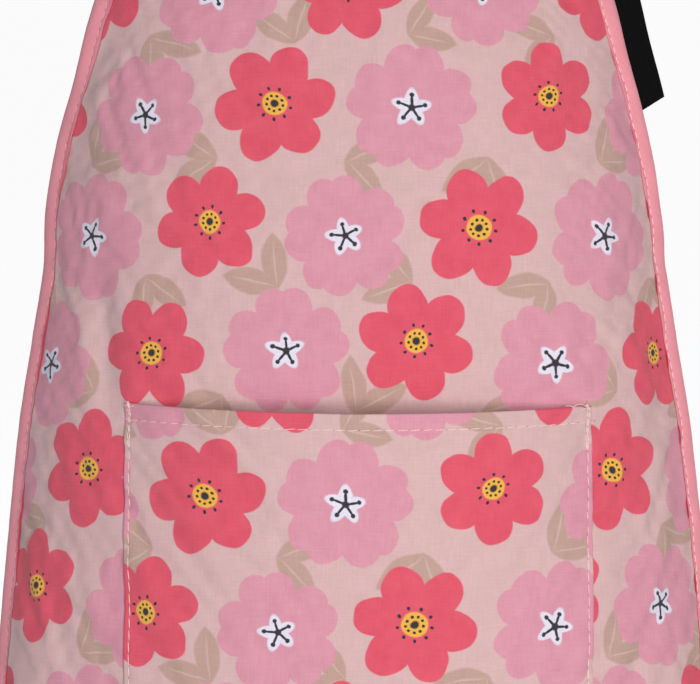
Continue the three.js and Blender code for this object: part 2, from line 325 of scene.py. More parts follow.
seams = {name: puckerRows(*run) for name, run in pucker["seams"].items()}
binding = {
    # a pair is for the left and the right, unless its note says otherwise
    "width": (12.6, 11.6),
    "stitchFromEdge": (9.4, 8.9),
    "stray": (0.5, 1.3),  # how far the stitches stray from that line
    "strayRuns": (8.3, 3.6),  # in a long wave and a short one
    "strayShares": (0.55, 0.45),  # of the long wave and of the short one
    "strayStart": 2.2,  # where the long wave starts, the other way round on the left
    "strayDrift": 29,
    "waistStray": (1.9, 0),  # and how far to the inside beside the ties
    "waistReach": 22,
    "gapeRun": (13.7, 5.6),  # the inner edge gapes here and there, in waves along the seam
    "gapeStart": (2.3, -0.15),
    "gapeLeast": (0, 0.6),
    "edgeLift": (-0.25, 0.4),  # where it is closed and where it gapes
    "edgeReach": 1,
    "swell": (0.85, 0.75),  # the cloth stands up beside a closed edge
    "swellRise": (-0.3, 0.9),  # distances from the edge where the swell starts and is full
    "swellReach": 3,
    "tape": 0.7,
    "seat": 0.05,
    "puff": 1.7,  # the folded layers stand up towards the edge
    "backPuff": 0.3,
    "puffPower": 1.2,
    "ridge": (0.78, 0.45),  # share of the way to the edge where the puff is full, and where it falls back to
    "roundOff": 0.85,  # the fold stands this far beyond the panel's edge
    "ripple": 0.1,
    # a coarse wave and a fine one: run, share, bend, the bend's own run and how far that differs by side
    "rippleWaves": [(2.9, 1, 1.7, 23, 1), (1.7, 0.6, 2, 17, 0)],
    "groove": (0.12, 0.25),
    "grooveWidth": 0.9,
    "rows": 330,
    # columns from the inner edge to the stitches, and from the stitches to the fold
    "insideShares": (1, 0.95, 0.86, 0.65, 0.4, 0.18, 0),
    "beyondShares": (0.965, 0.91, 0.83, 0.72, 0.59, 0.46, 0.33, 0.22, 0.12, 0.045),
    "foldSteps": 9,
    "flatShare": 2.35,  # flat width for each mm of seen width
}
pocket = {
    "halfWidth": 109,
    "shift": 2,
    "drop": 277,
    "height": 165,
    "mouthSag": 3.2,
    "leftRaise": 1.35,  # the mouth's left corner is sewn on a little higher
    "leftDraw": 0.95,  # and the left edge is drawn in a little below it
    "gape": 15,
    "gapePowers": (1.25, 1.15),  # how the gape fades to the sides and to the bottom
    "hem": 9,
    "hemStitch": 7.2,
    "edgeStitch": 2.5,
    "seamTop": 1.2,  # the side seams start this far below the mouth
    "hemSeamGap": 0.3,  # and the hem's seam this far from the sides
    "base": 1.25,
    "curl": 0.6,
    "groove": 0.22,
    "grooveWidth": 0.9,
    "puckerInset": 12,
    "puckerFade": 10,  # the panel's puckers fade over this distance past the pocket's corners
    "columns": 104,
    "rows": 78,
    # closer columns at the edges and closer rows at the mouth
    "edgeColumns": (0, 0.05, 0.15, 0.35, 0.6, 1.1, 1.6, 2.1, 2.5, 2.9, 3.4, 4.2),
    "edgeReach": 5.5,
    "mouthRows": (1.5, 3, 4.4, 5.6, 6.3, 6.8, 7.2, 7.6, 8.1, 8.8, 10),
    "mouthReach": 12,
    "printShift": (32, 100),
}
hems = {
    "top": 14,
    "bottom": 22,
    "topStitch": 12,
    "bottomStitch": 20,
    "stitchInset": 13,  # the stitches stop beside the bindings
    "layerGap": 0.75,
    "groove": 0.3,
    "grooveWidth": 1.3,
    "foldSteps": 6,
}


def bindingGape(side, drop):  # 1 where the tape's inner edge stands open, 0 where the cloth comes up to it
    right = side > 0
    wave = np.sin(drop / binding["gapeRun"][right] + binding["gapeStart"][right])
    least = binding["gapeLeast"][right]
    return np.clip((wave - least) / (1 - least), 0, 1)


def edgeSwell(side, away, drop):
    start, full = binding["swellRise"]
    rise = np.clip((away - start) / (full - start), 0, 1)
    fall = np.exp(-np.clip(away - full, 0, None) / binding["swellReach"])
    height = binding["swell"][side > 0] * (1 - bindingGape(side, drop))
    return height * rise**2 * (3 - 2 * rise) * fall


def stitchGroove(off, depth, width):
    return depth * np.exp(-((off / width) ** 2))


def cornerFade(beyond):
    return np.exp(-(np.clip(beyond / pocket["puckerFade"], 0, None) ** 2))


def seamLift(across, drop):
    half = halfFlat(drop)
    lift = 0
    for side, rows in ((-1, seams["left"]), (1, seams["right"])):
        away = half - binding["width"][side > 0] - side * across
        lift += puckerLift(drop, away, rows) + edgeSwell(side, away, drop)
    beside = across - pocket["shift"]
    down = drop - pocket["drop"]
    below = down - pocket["height"]
    nearSides = cornerFade(np.maximum(-down, below))
    for side, rows in ((-1, seams["pocketLeft"]), (1, seams["pocketRight"])):
        lift += nearSides * puckerLift(down, side * beside - pocket["halfWidth"], rows)
    nearBottom = cornerFade(np.abs(beside) - pocket["halfWidth"])
    lift += nearBottom * puckerLift(beside + pocket["halfWidth"], below, seams["pocketBottom"])
    for name, place, inwards in (
        ("topHem", hems["topStitch"], 1),
        ("bottomHem", cut["length"] - hems["bottomStitch"], -1),
    ):
        along = across + pucker["seams"][name][0] / 2
        lift += puckerLift(along, inwards * (drop - place), seams[name])
        lift -= stitchGroove(drop - place, hems["groove"], hems["grooveWidth"])
    return lift


# Drape: the panel, cut a little too large, settles over a body form while its bound edges hold it
drape = {
    "columns": 81,
    "rows": 109,
    "heldColumns": 3,
    "heldRows": 2,
    "spare": 0.009,  # share by which the cloth is larger than the space it fills
    "jitter": 0.4,
    "frames": 26,
    "formGap": 2.2,
    "skin": 0.5,
    "cap": 4.5,
    "gravity": 0.6,
    "seed": 7,
    "cloth": {
        "quality": 6,
        "mass": 0.02,
        "tension_stiffness": 20,
        "compression_stiffness": 20,
        "shear_stiffness": 8,
        "bending_stiffness": 0.4,
        "air_damping": 3,
    },
}
drapeField = np.zeros((drape["rows"], drape["columns"]))


def cubicWeights(p):  # weights of four neighbours, for a smooth reading between grid points
    weights = [-p + 2 * p**2 - p**3, 2 - 5 * p**2 + 3 * p**3, p + 4 * p**2 - 3 * p**3, p**3 - p**2]
    return [weight / 2 for weight in weights]


def drapeLift(across, drop):
    rows, columns = drapeField.shape
    u = np.clip((across / halfFlat(drop) + 1) / 2, 0, 1) * (columns - 1)
    v = np.clip(drop / cut["length"], 0, 1) * (rows - 1)
    u, v = np.broadcast_arrays(u, v)
    left, top = np.minimum(u.astype(int), columns - 2), np.minimum(v.astype(int), rows - 2)
    acrossWeights, downWeights = cubicWeights(u - left), cubicWeights(v - top)
    lift = 0
    for i in range(4):
        row = np.clip(top + i - 1, 0, rows - 1)
        for j in range(4):
            column = np.clip(left + j - 1, 0, columns - 1)
            lift += downWeights[i] * acrossWeights[j] * drapeField[row, column]
    return lift


def relief(across, drop):
    inward = halfFlat(drop) - np.abs(across)
    start, end = cut["looseRun"]
    free = np.clip((inward - start) / (end - start), 0, 1)
    loose = cut["edgeLoose"] + (1 - cut["edgeLoose"]) * free
    soft = wrinkleLift(across, drop) + crumpleLift(across, drop) + drapeLift(across, drop)
    return foldLift(across, drop) + tugLift(across, drop) + loose * soft + seamLift(across, drop)


def onPanel(across, drop, lift=0.0):  # a point of the wrinkled panel, and the outward direction there
    across, drop, lift = np.broadcast_arrays(*(np.asarray(values, float) for values in (across, drop, lift)))
    point, normal = panelFrame(across, drop)
    return point + normal * (lift + relief(across, drop))[..., None], normal


# Meshes
sharpAngle = math.radians(60)  # edges that turn more than this stay sharp


def unit(vectors):
    return vectors / np.linalg.norm(vectors, axis=-1, keepdims=True)


def gridNormals(points):  # rows run down and columns run to the right of someone who faces the cloth
    return unit(np.cross(np.gradient(points, axis=0), np.gradient(points, axis=1)))


def makeObject(name, points, faces, flat, materials, faceMaterials=None):
    mesh = bpy.data.meshes.new(name)
    mesh.from_pydata((points * mm).tolist(), [], faces)
    corner = np.empty(len(mesh.loops), np.int32)
    mesh.loops.foreach_get("vertex_index", corner)
    layer = mesh.uv_layers.new(name="clothMm")
    layer.data.foreach_set("uv", flat[corner].astype(np.float32).ravel())
    for material in materials:
        mesh.materials.append(material)
    if faceMaterials is not None:
        mesh.polygons.foreach_set("material_index", np.asarray(faceMaterials, np.int32))
    mesh.shade_smooth()
    mesh.set_sharp_from_angle(angle=sharpAngle)
    mesh.validate()
    mesh.update()
    thing = bpy.data.objects.new(name, mesh)
    scene.collection.objects.link(thing)
    return thing


def clothWall(name, points, flat, thick, materials, sideEdges=0):
    # A closed wall round a grid of middle points. The last material goes on its inner face.
    normals = gridNormals(points)
    rows, columns = points.shape[:2]
    both = np.concatenate([points + normals * thick / 2, points - normals * thick / 2])
    number = np.arange(2 * rows * columns).reshape(2 * rows, columns)
    outer, inner = number[:rows], number[rows:]
    faces, kinds = [], []

    def addQuads(a, b, c, d, kind):
        quads = np.stack([a, b, c, d], -1).reshape(-1, 4)
        faces.extend(quads.tolist())
        kinds.extend([kind] * len(quads))

    addQuads(outer[:-1, :-1], outer[1:, :-1], outer[1:, 1:], outer[:-1, 1:], 0)
    addQuads(inner[:-1, :-1], inner[:-1, 1:], inner[1:, 1:], inner[1:, :-1], len(materials) - 1)
    addQuads(outer[:-1, 0], inner[:-1, 0], inner[1:, 0], outer[1:, 0], sideEdges)
    addQuads(outer[:-1, -1], outer[1:, -1], inner[1:, -1], inner[:-1, -1], sideEdges)
    addQuads(outer[0, :-1], outer[0, 1:], inner[0, 1:], inner[0, :-1], 0)
    addQuads(outer[-1, :-1], inner[-1, :-1], inner[-1, 1:], outer[-1, 1:], 0)
    flatBoth = np.concatenate([flat, flat]).reshape(-1, 2)
    return makeObject(name, both.reshape(-1, 3), faces, flatBoth, materials, kinds)


def gridQuads(rows, columns):
    number = np.arange(rows * columns).reshape(rows, columns)
    corners = [number[:-1, :-1], number[1:, :-1], number[1:, 1:], number[:-1, 1:]]
    return np.stack(corners, -1).reshape(-1, 4).tolist()


def tubeFaces(rows, columns):  # quads round a tube of rings, and a cap at each end
    number = np.arange(rows * columns).reshape(rows, columns)
    beside = np.roll(number, -1, axis=1)
    quads = np.stack([number[:-1], beside[:-1], beside[1:], number[1:]], -1).reshape(-1, 4)
    return quads.tolist() + [number[0][::-1].tolist(), number[-1].tolist()]


def flatPlaces(across, down):  # a grid of flat places from its columns and rows
    return np.stack(np.broadcast_arrays(across, down), -1)


def settleDrape():  # how far each point of a coarse grid settles off the shaped panel
    rows, columns = drape["rows"], drape["columns"]
    drop = np.linspace(0, cut["length"], rows)[:, None]
    across = np.linspace(-1, 1, columns)[None, :] * halfFlat(drop)
    smooth, normal = panelFrame(across, drop)
    shaped = foldLift(across, drop) + tugLift(across, drop) + wrinkleLift(across, drop)
    jitter = np.random.default_rng(drape["seed"]).uniform(0, drape["jitter"], shaped.shape)
    flat = flatPlaces(across, drop).reshape(-1, 2)
    start = smooth + normal * (shaped + jitter)[..., None]
    quads = gridQuads(rows, columns)
    trial = makeObject("drapeTrial", start.reshape(-1, 3), quads, flat, [])
    under = smooth + normal * (np.minimum(shaped, 0) - drape["formGap"])[..., None]
    form = makeObject("drapeForm", under.reshape(-1, 3), quads, flat, [])
    form.modifiers.new("collision", "COLLISION")
    form.collision.thickness_outer = drape["skin"] * mm
    held = np.zeros((rows, columns))
    held[:, : drape["heldColumns"]] = held[:, -drape["heldColumns"] :] = held[: drape["heldRows"]] = 1
    group = trial.vertex_groups.new(name="held")
    group.add(np.flatnonzero(held.ravel()).tolist(), 1.0, "REPLACE")
    modifier = trial.modifiers.new("cloth", "CLOTH")
    for key, value in drape["cloth"].items():
        setattr(modifier.settings, key, value)
    modifier.settings.shrink_min = -drape["spare"]
    modifier.settings.vertex_group_mass = "held"
    modifier.settings.effector_weights.gravity = drape["gravity"]
    modifier.collision_settings.distance_min = drape["skin"] * mm
    modifier.point_cache.frame_end = drape["frames"]
    for moment in range(1, drape["frames"] + 1):
        scene.frame_set(moment)
    mesh = trial.evaluated_get(bpy.context.evaluated_depsgraph_get()).data
    settled = np.empty(3 * rows * columns, np.float32)
    mesh.vertices.foreach_get("co", settled)
    off = (settled.reshape(rows, columns, 3) / mm - smooth) * normal
    extra = off.sum(-1) - shaped
    scene.frame_set(1)
    for thing in (trial, form):
        bpy.data.objects.remove(thing)
    print("drape settled between", extra.min().round(2), "and", extra.max().round(2))
    return drape["cap"] * np.tanh(extra / drape["cap"])


def finishPiece(piece, slot, *nodes):
    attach(piece, "root")
    if nodes:
        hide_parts(*nodes)


# Materials
def linear(hexText):  # sRGB hex to linear
    parts = [int(hexText[i : i + 2], 16) / 255 for i in (0, 2, 4)]
    return tuple(c / 12.92 if c <= 0.04045 else ((c + 0.055) / 1.055) ** 2.4 for c in parts) + (1.0,)


def addNode(tree, kind, settings=None):
    # A key that is a number or starts with a capital is a socket. Another node's output as a value is linked.
    node = tree.nodes.new(kind)
    for key, value in (settings or {}).items():
        if isinstance(value, bpy.types.NodeSocket):
            tree.links.new(value, node.inputs[key])
        elif isinstance(key, int) or key[0].isupper():
            node.inputs[key].default_value = value
        else:
            setattr(node, key, value)
    return node


def maths(tree, operation, *values):
    return addNode(tree, "ShaderNodeMath", {"operation": operation, **dict(enumerate(values))}).outputs[0]


def vectorMaths(tree, operation, *values):
    node = addNode(tree, "ShaderNodeVectorMath", {"operation": operation, **dict(enumerate(values))})
    return node.outputs[1 if operation == "LENGTH" else 0]


def scaled(tree, vector, amount):
    settings = {"operation": "SCALE", 0: vector, "Scale": amount}
    return addNode(tree, "ShaderNodeVectorMath", settings).outputs[0]


def noise(tree, place, size, detail):  # output 0 is a value and output 1 a colour
    settings = {"Scale": 1 / size, "Detail": detail, "Vector": place}
    return addNode(tree, "ShaderNodeTexNoise", settings).outputs


def ramp(tree, value, low, high, start=0, end=1):
    settings = {"From Min": low, "From Max": high, "To Min": start, "To Max": end, "Value": value}
    return addNode(tree, "ShaderNodeMapRange", settings).outputs[0]


def inFrame(tree, place, middle=(0, 0), turn=0, size=(1, 1)):  # the place seen from a moved and turned frame
    settings = {
        "vector_type": "TEXTURE",
        "Location": (*middle, 0),
        "Rotation": (0, 0, turn),
        "Scale": (*size, 1),
        "Vector": place,
    }
    return addNode(tree, "ShaderNodeMapping", settings).outputs[0]


def paintOver(tree, under, mask, colour):  # lays a colour, or another painted colour, on what is below
    under, colour = (linear(value) if isinstance(value, str) else value for value in (under, colour))
    settings = {"data_type": "RGBA", 0: mask, 6: under, 7: colour}
    return addNode(tree, "ShaderNodeMix", settings).outputs[2]


def newMaterial(name, sockets):
    material = bpy.data.materials.new(name)
    material.use_nodes = True
    shader = material.node_tree.nodes["Principled BSDF"]
    for key, value in sockets.items():
        shader.inputs[key].default_value = value
    return material, material.node_tree, shader


# The print: a repeat of six-petalled coral blossoms, heart-petalled pink ones and sprigs
floral = {
    "repeat": (250, 226),
    "wobble": 1.7,  # hand-cut outlines
    "wobbleSize": 15,
    "inkPatch": 9,  # the ink lies unevenly
    "inkRange": (0.35, 0.7),
    "ground": "deb7b9",
    "groundDeep": "d9b5b4",
    "coral": "e55c70",
    "coralDeep": "df5469",
    "pink": "e09cae",
    "pinkDeep": "dc95a9",
    "leaf": "c4a196",
    "leafRib": "d0b3a9",
    "gold": "f2b84b",
    "charcoal": "35323a",
    "lilac": "e9e4f4",
    "reverse": "f1dcd8",
    "reversePale": 0.62,
    "pinkPetals": 5,
    "coralPetals": 6,
    "eyeDots": 9,
    "leafPlace": (0.36, 0.3),  # in its sprig; the twin leaf is the mirror image
    "leafTurn": 0.62,
    # middle, size and softness of the ovals that make up a motif, as shares of its radius
    "ovals": {
        "leafHalf": ((0, -0.52), (0.78, 0.78), 0.03),
        "rib": ((-0.06, 0), (0.4, 0.022), 0.3),
        "heartLobe": ((0.68, 0.17), (0.33, 0.29), 0.03),
        "heartFoot": ((0.36, 0), (0.44, 0.29), 0.03),
        "star": ((0.05, 0), (0.27, 0.11), 0.08),
        "stamen": ((0.1, 0), (0.12, 0.022), 0.2),
        "stamenTip": ((0.21, 0), (0.036, 0.036), 0.2),
        "pinkEye": ((0, 0), (0.06, 0.06), 0.2),
        "roundPetal": ((0.6, 0), (0.4, 0.34), 0.03),
        "coralMiddle": ((0, 0), (0.42, 0.42), 0.03),
        "goldEye": ((0, 0), (0.2, 0.2), 0.06),
        "outerDot": ((0.265, 0), (0.032, 0.026), 0.2),
        "innerDot": ((0.13, 0), (0.024, 0.024), 0.2),
        "coralEye": ((0, 0), (0.065, 0.065), 0.2),
    },
    # across, down, radius, turn
    "coralPlaces": [
        (28, 22, 27, 0.3), (156, 27, 26, 1.1), (123, 80, 28, 0.7), (247, 84, 26, 0.1),
        (91, 135, 26, 0.5), (214, 139, 28, 0.9), (57, 196, 28, 0.2), (184, 193, 26, 0.8),
    ],
    "pinkPlaces": [
        (93, 32, 29, 0.2), (219, 26, 28, 0.9), (60, 84, 27, 0.5), (186, 86, 29, 0.0),
        (26, 141, 29, 1.0), (152, 143, 28, 0.4), (121, 199, 29, 0.1), (246, 200, 27, 0.7),
    ],
    "sprigPlaces": [
        (61, 54, 23, 0.4), (124, 44, 22, 3.6), (188, 48, 24, 2.2), (2, 52, 23, 5.2),
        (92, 106, 22, 2.8), (155, 108, 24, 0.9), (222, 108, 22, 4.4), (26, 106, 21, 5.9),
        (60, 166, 23, 1.9), (121, 164, 22, 5.6), (185, 164, 24, 3.1), (248, 166, 22, 0.2),
        (89, 222, 23, 2.4), (154, 220, 22, 1.2), (214, 222, 23, 4.0), (24, 220, 21, 3.4),
    ],
}


def nearestMotif(tree, place, rows):  # the place in the nearest motif's own frame, where its rim is at 1
    width, height = floral["repeat"]
    best = None
    for across, down, radius, turn in rows:
        most = (across + width / 2, down + height / 2, 1)
        least = (across - width / 2, down - height / 2, -1)
        wrapped = vectorMaths(tree, "WRAP", place, most, least)
        local = inFrame(tree, wrapped, (across, down), turn, (radius, radius))
        reach = vectorMaths(tree, "LENGTH", local)
        if best is None:
            best, shortest = local, reach
            continue
        closer = maths(tree, "LESS_THAN", reach, shortest)
        choice = {"data_type": "VECTOR", 0: closer, 4: best, 5: local}
        best = addNode(tree, "ShaderNodeMix", choice).outputs[1]
        shortest = maths(tree, "MINIMUM", reach, shortest)
    return best


def petalWedge(tree, local, count):  # folds the place into one petal, which lies along +X
    parts = addNode(tree, "ShaderNodeSeparateXYZ", {0: local}).outputs
    angle = maths(tree, "ARCTAN2", parts[1], parts[0])
    folded = maths(tree, "WRAP", angle, math.pi / count, -math.pi / count)
    reach = vectorMaths(tree, "LENGTH", local)
    ways = [maths(tree, "MULTIPLY", maths(tree, way, folded), reach) for way in ("COSINE", "SINE")]
    return addNode(tree, "ShaderNodeCombineXYZ", dict(enumerate(ways))).outputs[0]


def ovalMask(tree, place, name):
    middle, size, soft = floral["ovals"][name]
    reach = vectorMaths(tree, "LENGTH", inFrame(tree, place, middle, 0, size))
    return ramp(tree, reach, 1 + soft, 1 - soft)


def joinMasks(tree, *masks):
    whole = masks[0]
    for mask in masks[1:]:
        whole = maths(tree, "MAXIMUM", whole, mask)
    return whole


def makeFloralRepeat():  # a node group that gives the print's colour at a flat place in millimetres
    tree = bpy.data.node_groups.new("floralRepeat", "ShaderNodeTree")
    tree.interface.new_socket("Place", in_out="INPUT", socket_type="NodeSocketVector")
    tree.interface.new_socket("Color", in_out="OUTPUT", socket_type="NodeSocketColor")
    start = addNode(tree, "NodeGroupInput").outputs[0]
    end = addNode(tree, "NodeGroupOutput")
    wobble = floral["wobble"]
    drift = noise(tree, start, floral["wobbleSize"], detail=1.5)[1]
    pulled = vectorMaths(tree, "MULTIPLY_ADD", drift, (2 * wobble, 2 * wobble, 0), (-wobble, -wobble, 0))
    place = vectorMaths(tree, "ADD", start, pulled)
    ink = ramp(tree, noise(tree, start, floral["inkPatch"], detail=3)[0], *floral["inkRange"])
    ground = paintOver(tree, floral["ground"], ink, floral["groundDeep"])

    # twin leaves with a pale rib
    sprig = nearestMotif(tree, place, floral["sprigPlaces"])
    leafAcross, leafDown = floral["leafPlace"]
    leaves, ribs = [], []
    for side in (1, -1):
        leaf = inFrame(tree, sprig, (leafAcross, leafDown * side), floral["leafTurn"] * side)
        leaves.append(ovalMask(tree, vectorMaths(tree, "ABSOLUTE", leaf), "leafHalf"))
        ribs.append(ovalMask(tree, leaf, "rib"))
    colour = paintOver(tree, ground, joinMasks(tree, *leaves), floral["leaf"])
    colour = paintOver(tree, colour, joinMasks(tree, *ribs), floral["leafRib"])

    # heart-shaped petals round a pale star
    pink = nearestMotif(tree, place, floral["pinkPlaces"])
    petal = petalWedge(tree, pink, floral["pinkPetals"])
    lobes = ovalMask(tree, vectorMaths(tree, "ABSOLUTE", petal), "heartLobe")
    hearts = joinMasks(tree, lobes, ovalMask(tree, petal, "heartFoot"))
    colour = paintOver(tree, colour, hearts, paintOver(tree, floral["pink"], ink, floral["pinkDeep"]))
    colour = paintOver(tree, colour, ovalMask(tree, petal, "star"), floral["lilac"])
    stamens = [ovalMask(tree, petal, name) for name in ("stamen", "stamenTip")]
    stamens.append(ovalMask(tree, pink, "pinkEye"))
    colour = paintOver(tree, colour, joinMasks(tree, *stamens), floral["charcoal"])

    # round petals round a golden eye with dark dots
    coral = nearestMotif(tree, place, floral["coralPlaces"])
    petal = petalWedge(tree, coral, floral["coralPetals"])
    rounds = joinMasks(tree, ovalMask(tree, petal, "roundPetal"), ovalMask(tree, coral, "coralMiddle"))
    colour = paintOver(tree, colour, rounds, paintOver(tree, floral["coral"], ink, floral["coralDeep"]))
    colour = paintOver(tree, colour, ovalMask(tree, coral, "goldEye"), floral["gold"])
    eye = petalWedge(tree, coral, floral["eyeDots"])
    dots = [ovalMask(tree, eye, name) for name in ("outerDot", "innerDot")]
    dots.append(ovalMask(tree, coral, "coralEye"))
    colour = paintOver(tree, colour, joinMasks(tree, *dots), floral["charcoal"])
    tree.links.new(colour, end.inputs[0])
    return tree


weave = {
    "thread": 0.8,  # mm between threads; the real 0.35 is too fine to show, so it is drawn coarser
    "slub": 0.8,  # thick places in a thread
    "slubLength": 9,
    "slubRange": (0.6, 1.4),
    "crossing": 0.35,  # how much of the height is the over and under
    "relief": 0.25,
}


def weaveHeight(tree, place, pitch):  # plain weave: over and under, with uneven threads
    parts = addNode(tree, "ShaderNodeSeparateXYZ", {0: scaled(tree, place, 2 * math.pi / pitch)}).outputs
    crossed = maths(tree, "MULTIPLY", maths(tree, "SINE", parts[0]), maths(tree, "SINE", parts[1]))
    ways = ((weave["slubLength"], weave["slub"]), (weave["slub"], weave["slubLength"]))
    threads = [noise(tree, inFrame(tree, place, size=way), size=1, detail=2)[0] for way in ways]
    return crossed, maths(tree, "ADD", *threads)


def makeCotton(name, colourOf, tone, bump, turn=0.0):
    # Plain-woven cotton: matt, a little fuzz at the rim, threads that catch the light unevenly
    sockets = {"Roughness": 0.88, "IOR": 1.46, "Specular IOR Level": 0.25}
    fuzz = {"Sheen Weight": 0.12, "Sheen Roughness": 0.5}
    material, tree, shader = newMaterial(name, {**sockets, **fuzz})
    place = addNode(tree, "ShaderNodeUVMap", {"uv_map": "clothMm"}).outputs[0]
    turned = addNode(tree, "ShaderNodeMapping", {"Rotation": (0, 0, turn), "Vector": place}).outputs[0]
    crossed, slubs = weaveHeight(tree, turned, weave["thread"])
    shade = ramp(tree, slubs, *weave["slubRange"], 1 - tone, 1 + tone)
    tree.links.new(scaled(tree, colourOf(tree, place), shade), shader.inputs["Base Color"])
    height = maths(tree, "MULTIPLY_ADD", crossed, weave["crossing"], slubs)
    settings = {"Strength": bump, "Distance": weave["relief"] * mm, "Height": height}
    tree.links.new(addNode(tree, "ShaderNodeBump", settings).outputs[0], shader.inputs["Normal"])
    return material


floralRepeat = makeFloralRepeat()


def printColour(tree, place):
    return addNode(tree, "ShaderNodeGroup", {"node_tree": floralRepeat, 0: place}).outputs[0]


def reverseColour(tree, place):  # the print only shows faintly through to the wrong side
    return paintOver(tree, printColour(tree, place), floral["reversePale"], floral["reverse"])


tape = {
    "pink": "fca4b0",
    "deep": "f498a7",
    "patch": 14,
    "foldShadeOpen": "e0707f",  # painted shade inside the fold, lighter at the bib, whose edges are pressed open so light gets in
    # painted shadow of the gap inside the fold, deeper lower down
    "fold": "c4324a",
    # drops over which the painted fold shade deepens
    "foldShadeRun": (150, 185),
}


def tapeColour(tree, place):
    return paintOver(tree, tape["pink"], noise(tree, place, tape["patch"], detail=3)[0], tape["deep"])


def foldShadeColour(tree, place):  # painted shade inside the tape's fold: a deeper pink, darkest below the bib
    down = addNode(tree, "ShaderNodeSeparateXYZ", {0: place}).outputs[1]
    return paintOver(tree, tape["foldShadeOpen"], ramp(tree, down, *tape["foldShadeRun"]), tape["fold"])


bias = math.pi / 4  # bias tape is cut at this angle to the threads
printedCotton = makeCotton("printed cotton, right side", printColour, tone=0.065, bump=0.35)
printedReverse = makeCotton("printed cotton, wrong side", reverseColour, tone=0.045, bump=0.35)
biasTape = makeCotton("cotton bias tape", tapeColour, tone=0.06, bump=0.3, turn=bias)
# the tape's inner edges get painted shade, a deeper pink
tapeFoldShade = makeCotton("cotton bias tape, painted shade inside its fold", foldShadeColour, tone=0.06, bump=0.3, turn=bias)
strapCotton = makeCotton("folded cotton strap", tapeColour, tone=0.06, bump=0.3)


def makeThread(name, light, dark, ply=1.2):  # spun polyester: twisted plies, a slight gloss
    sockets = {"Roughness": 0.55, "IOR": 1.5, "Sheen Weight": 0.2, "Sheen Roughness": 0.4}
    material, tree, shader = newMaterial(name, sockets)
    place = addNode(tree, "ShaderNodeTexCoord").outputs["Object"]
    twist = noise(tree, place, ply * mm, detail=1)[0]
    tree.links.new(paintOver(tree, light, twist, dark), shader.inputs["Base Color"])
    return material


satin = {
    "rib": 0.7,  # mm between ribs, drawn coarser too
    "black": "030304",
    "worn": "0b0b0c",
    "bump": 0.4,
    "relief": 0.2,
}


def makeLabelSatin():  # woven polyester label: fine weft ribs and a soft sheen
    sockets = {"Roughness": 0.6, "IOR": 1.5, "Specular IOR Level": 0.04}
    material, tree, shader = newMaterial("black label satin", sockets)
    place = addNode(tree, "ShaderNodeUVMap", {"uv_map": "clothMm"}).outputs[0]
    crossed, slubs = weaveHeight(tree, place, satin["rib"])
    mask = ramp(tree, slubs, *weave["slubRange"])
    tree.links.new(paintOver(tree, satin["black"], mask, satin["worn"]), shader.inputs["Base Color"])
    settings = {"Strength": satin["bump"], "Distance": satin["relief"] * mm, "Height": crossed}
    tree.links.new(addNode(tree, "ShaderNodeBump", settings).outputs[0], shader.inputs["Normal"])
    return material


sewingThread = makeThread("polyester sewing thread", "fae6df", "f0cfc9")
leftBindingThread = makeThread("pink polyester thread", "ecbab9", "e2a9ab")
# short dark beads between the stitches: painted shade of the needle holes
needleHoleShade = makeThread("painted shade of a needle hole", "d9838d", "c9727d")
shallowNeedleHoleShade = makeThread("painted shade of a shallow needle hole", "cc8387", "ba7076")
labelSatin = makeLabelSatin()
print("materials made")


drapeField = settleDrape()


# Front panel: one sheet, its hems turned to the back
panel = {
    "columns": 160,  # between the bound edges; beside those the columns are closer together
    "edgeColumns": (0, 4, 7.5, 9.5, 10.7, 11.3, 11.8, 12.2, 12.6, 13.1, 13.7, 14.5, 15.7, 17.5),
    "edgeReach": 19.6,
    "rows": 234,
    "hemRows": (7, 10),
    "hollow": 9,
    "hollowBelow": 12,  # below the pocket's mouth
    "hollowReach": 17,
    "hollowPower": 0.6,  # how it fades to the sides
    "areaSteps": 400,
}


def mouthHollow(across, drop):  # the panel falls in a little behind the pocket's mouth
    share = np.clip(1 - ((across - pocket["shift"]) / pocket["halfWidth"]) ** 2, 0, None)
    off = (drop - pocket["drop"] - panel["hollowBelow"]) / panel["hollowReach"]
    return panel["hollow"] * share ** panel["hollowPower"] * np.exp(-(off**2))


def makePanel():
    fold = hems["layerGap"] / 2
    length = cut["length"]
    topRows, bottomRows = panel["hemRows"]
    turns = np.linspace(0, math.pi, hems["foldSteps"])[1:-1]
    down = np.linspace(fold, length - fold, panel["rows"])
    topBack = np.linspace(hems["top"], fold, topRows)
    topFold = fold - fold * np.sin(turns)
    bottomFold = length - fold + fold * np.sin(turns)
    bottomBack = np.linspace(length - fold, length - hems["bottom"], bottomRows)
    drop = np.concatenate([topBack, topFold, down, bottomFold, bottomBack])
    lift = np.concatenate(
        [
            np.full(topRows, -2 * fold),
            -fold - fold * np.cos(turns),
            np.zeros(len(down)),
            -fold + fold * np.cos(turns),
            np.full(bottomRows, -2 * fold),
        ]
    )
    flatDown = np.concatenate([-topBack, 0 * turns, down, 0 * turns + length, 2 * length - bottomBack])
    half = halfFlat(drop)[:, None]
    fromEdge = np.array(panel["edgeColumns"], float)[None, :]
    middle = np.linspace(-1, 1, panel["columns"])[None, :] * (half - panel["edgeReach"])
    across = np.concatenate([fromEdge - half, middle, (half - fromEdge)[:, ::-1]], 1)
    hollow = mouthHollow(across, drop[:, None])
    points = onPanel(across, drop[:, None], lift[:, None] - hollow)[0]
    flat = flatPlaces(across, flatDown[:, None])
    piece = clothWall("panelCloth", points, flat, cut["cloth"], [printedCotton, printedReverse])
    width = 2 * halfFlat(np.linspace(0, length, panel["areaSteps"]))
    area = width.mean() * length + width[0] * hems["top"] + width[-1] * hems["bottom"]
    return piece, (width.max() * mm, (length + hems["top"] + hems["bottom"]) * mm), area * mm * mm


panelCloth, panelFlat, panelArea = makePanel()
finishPiece(panelCloth, "printed_cloth", "front_panel")
print("front panel made, flat", panelFlat)


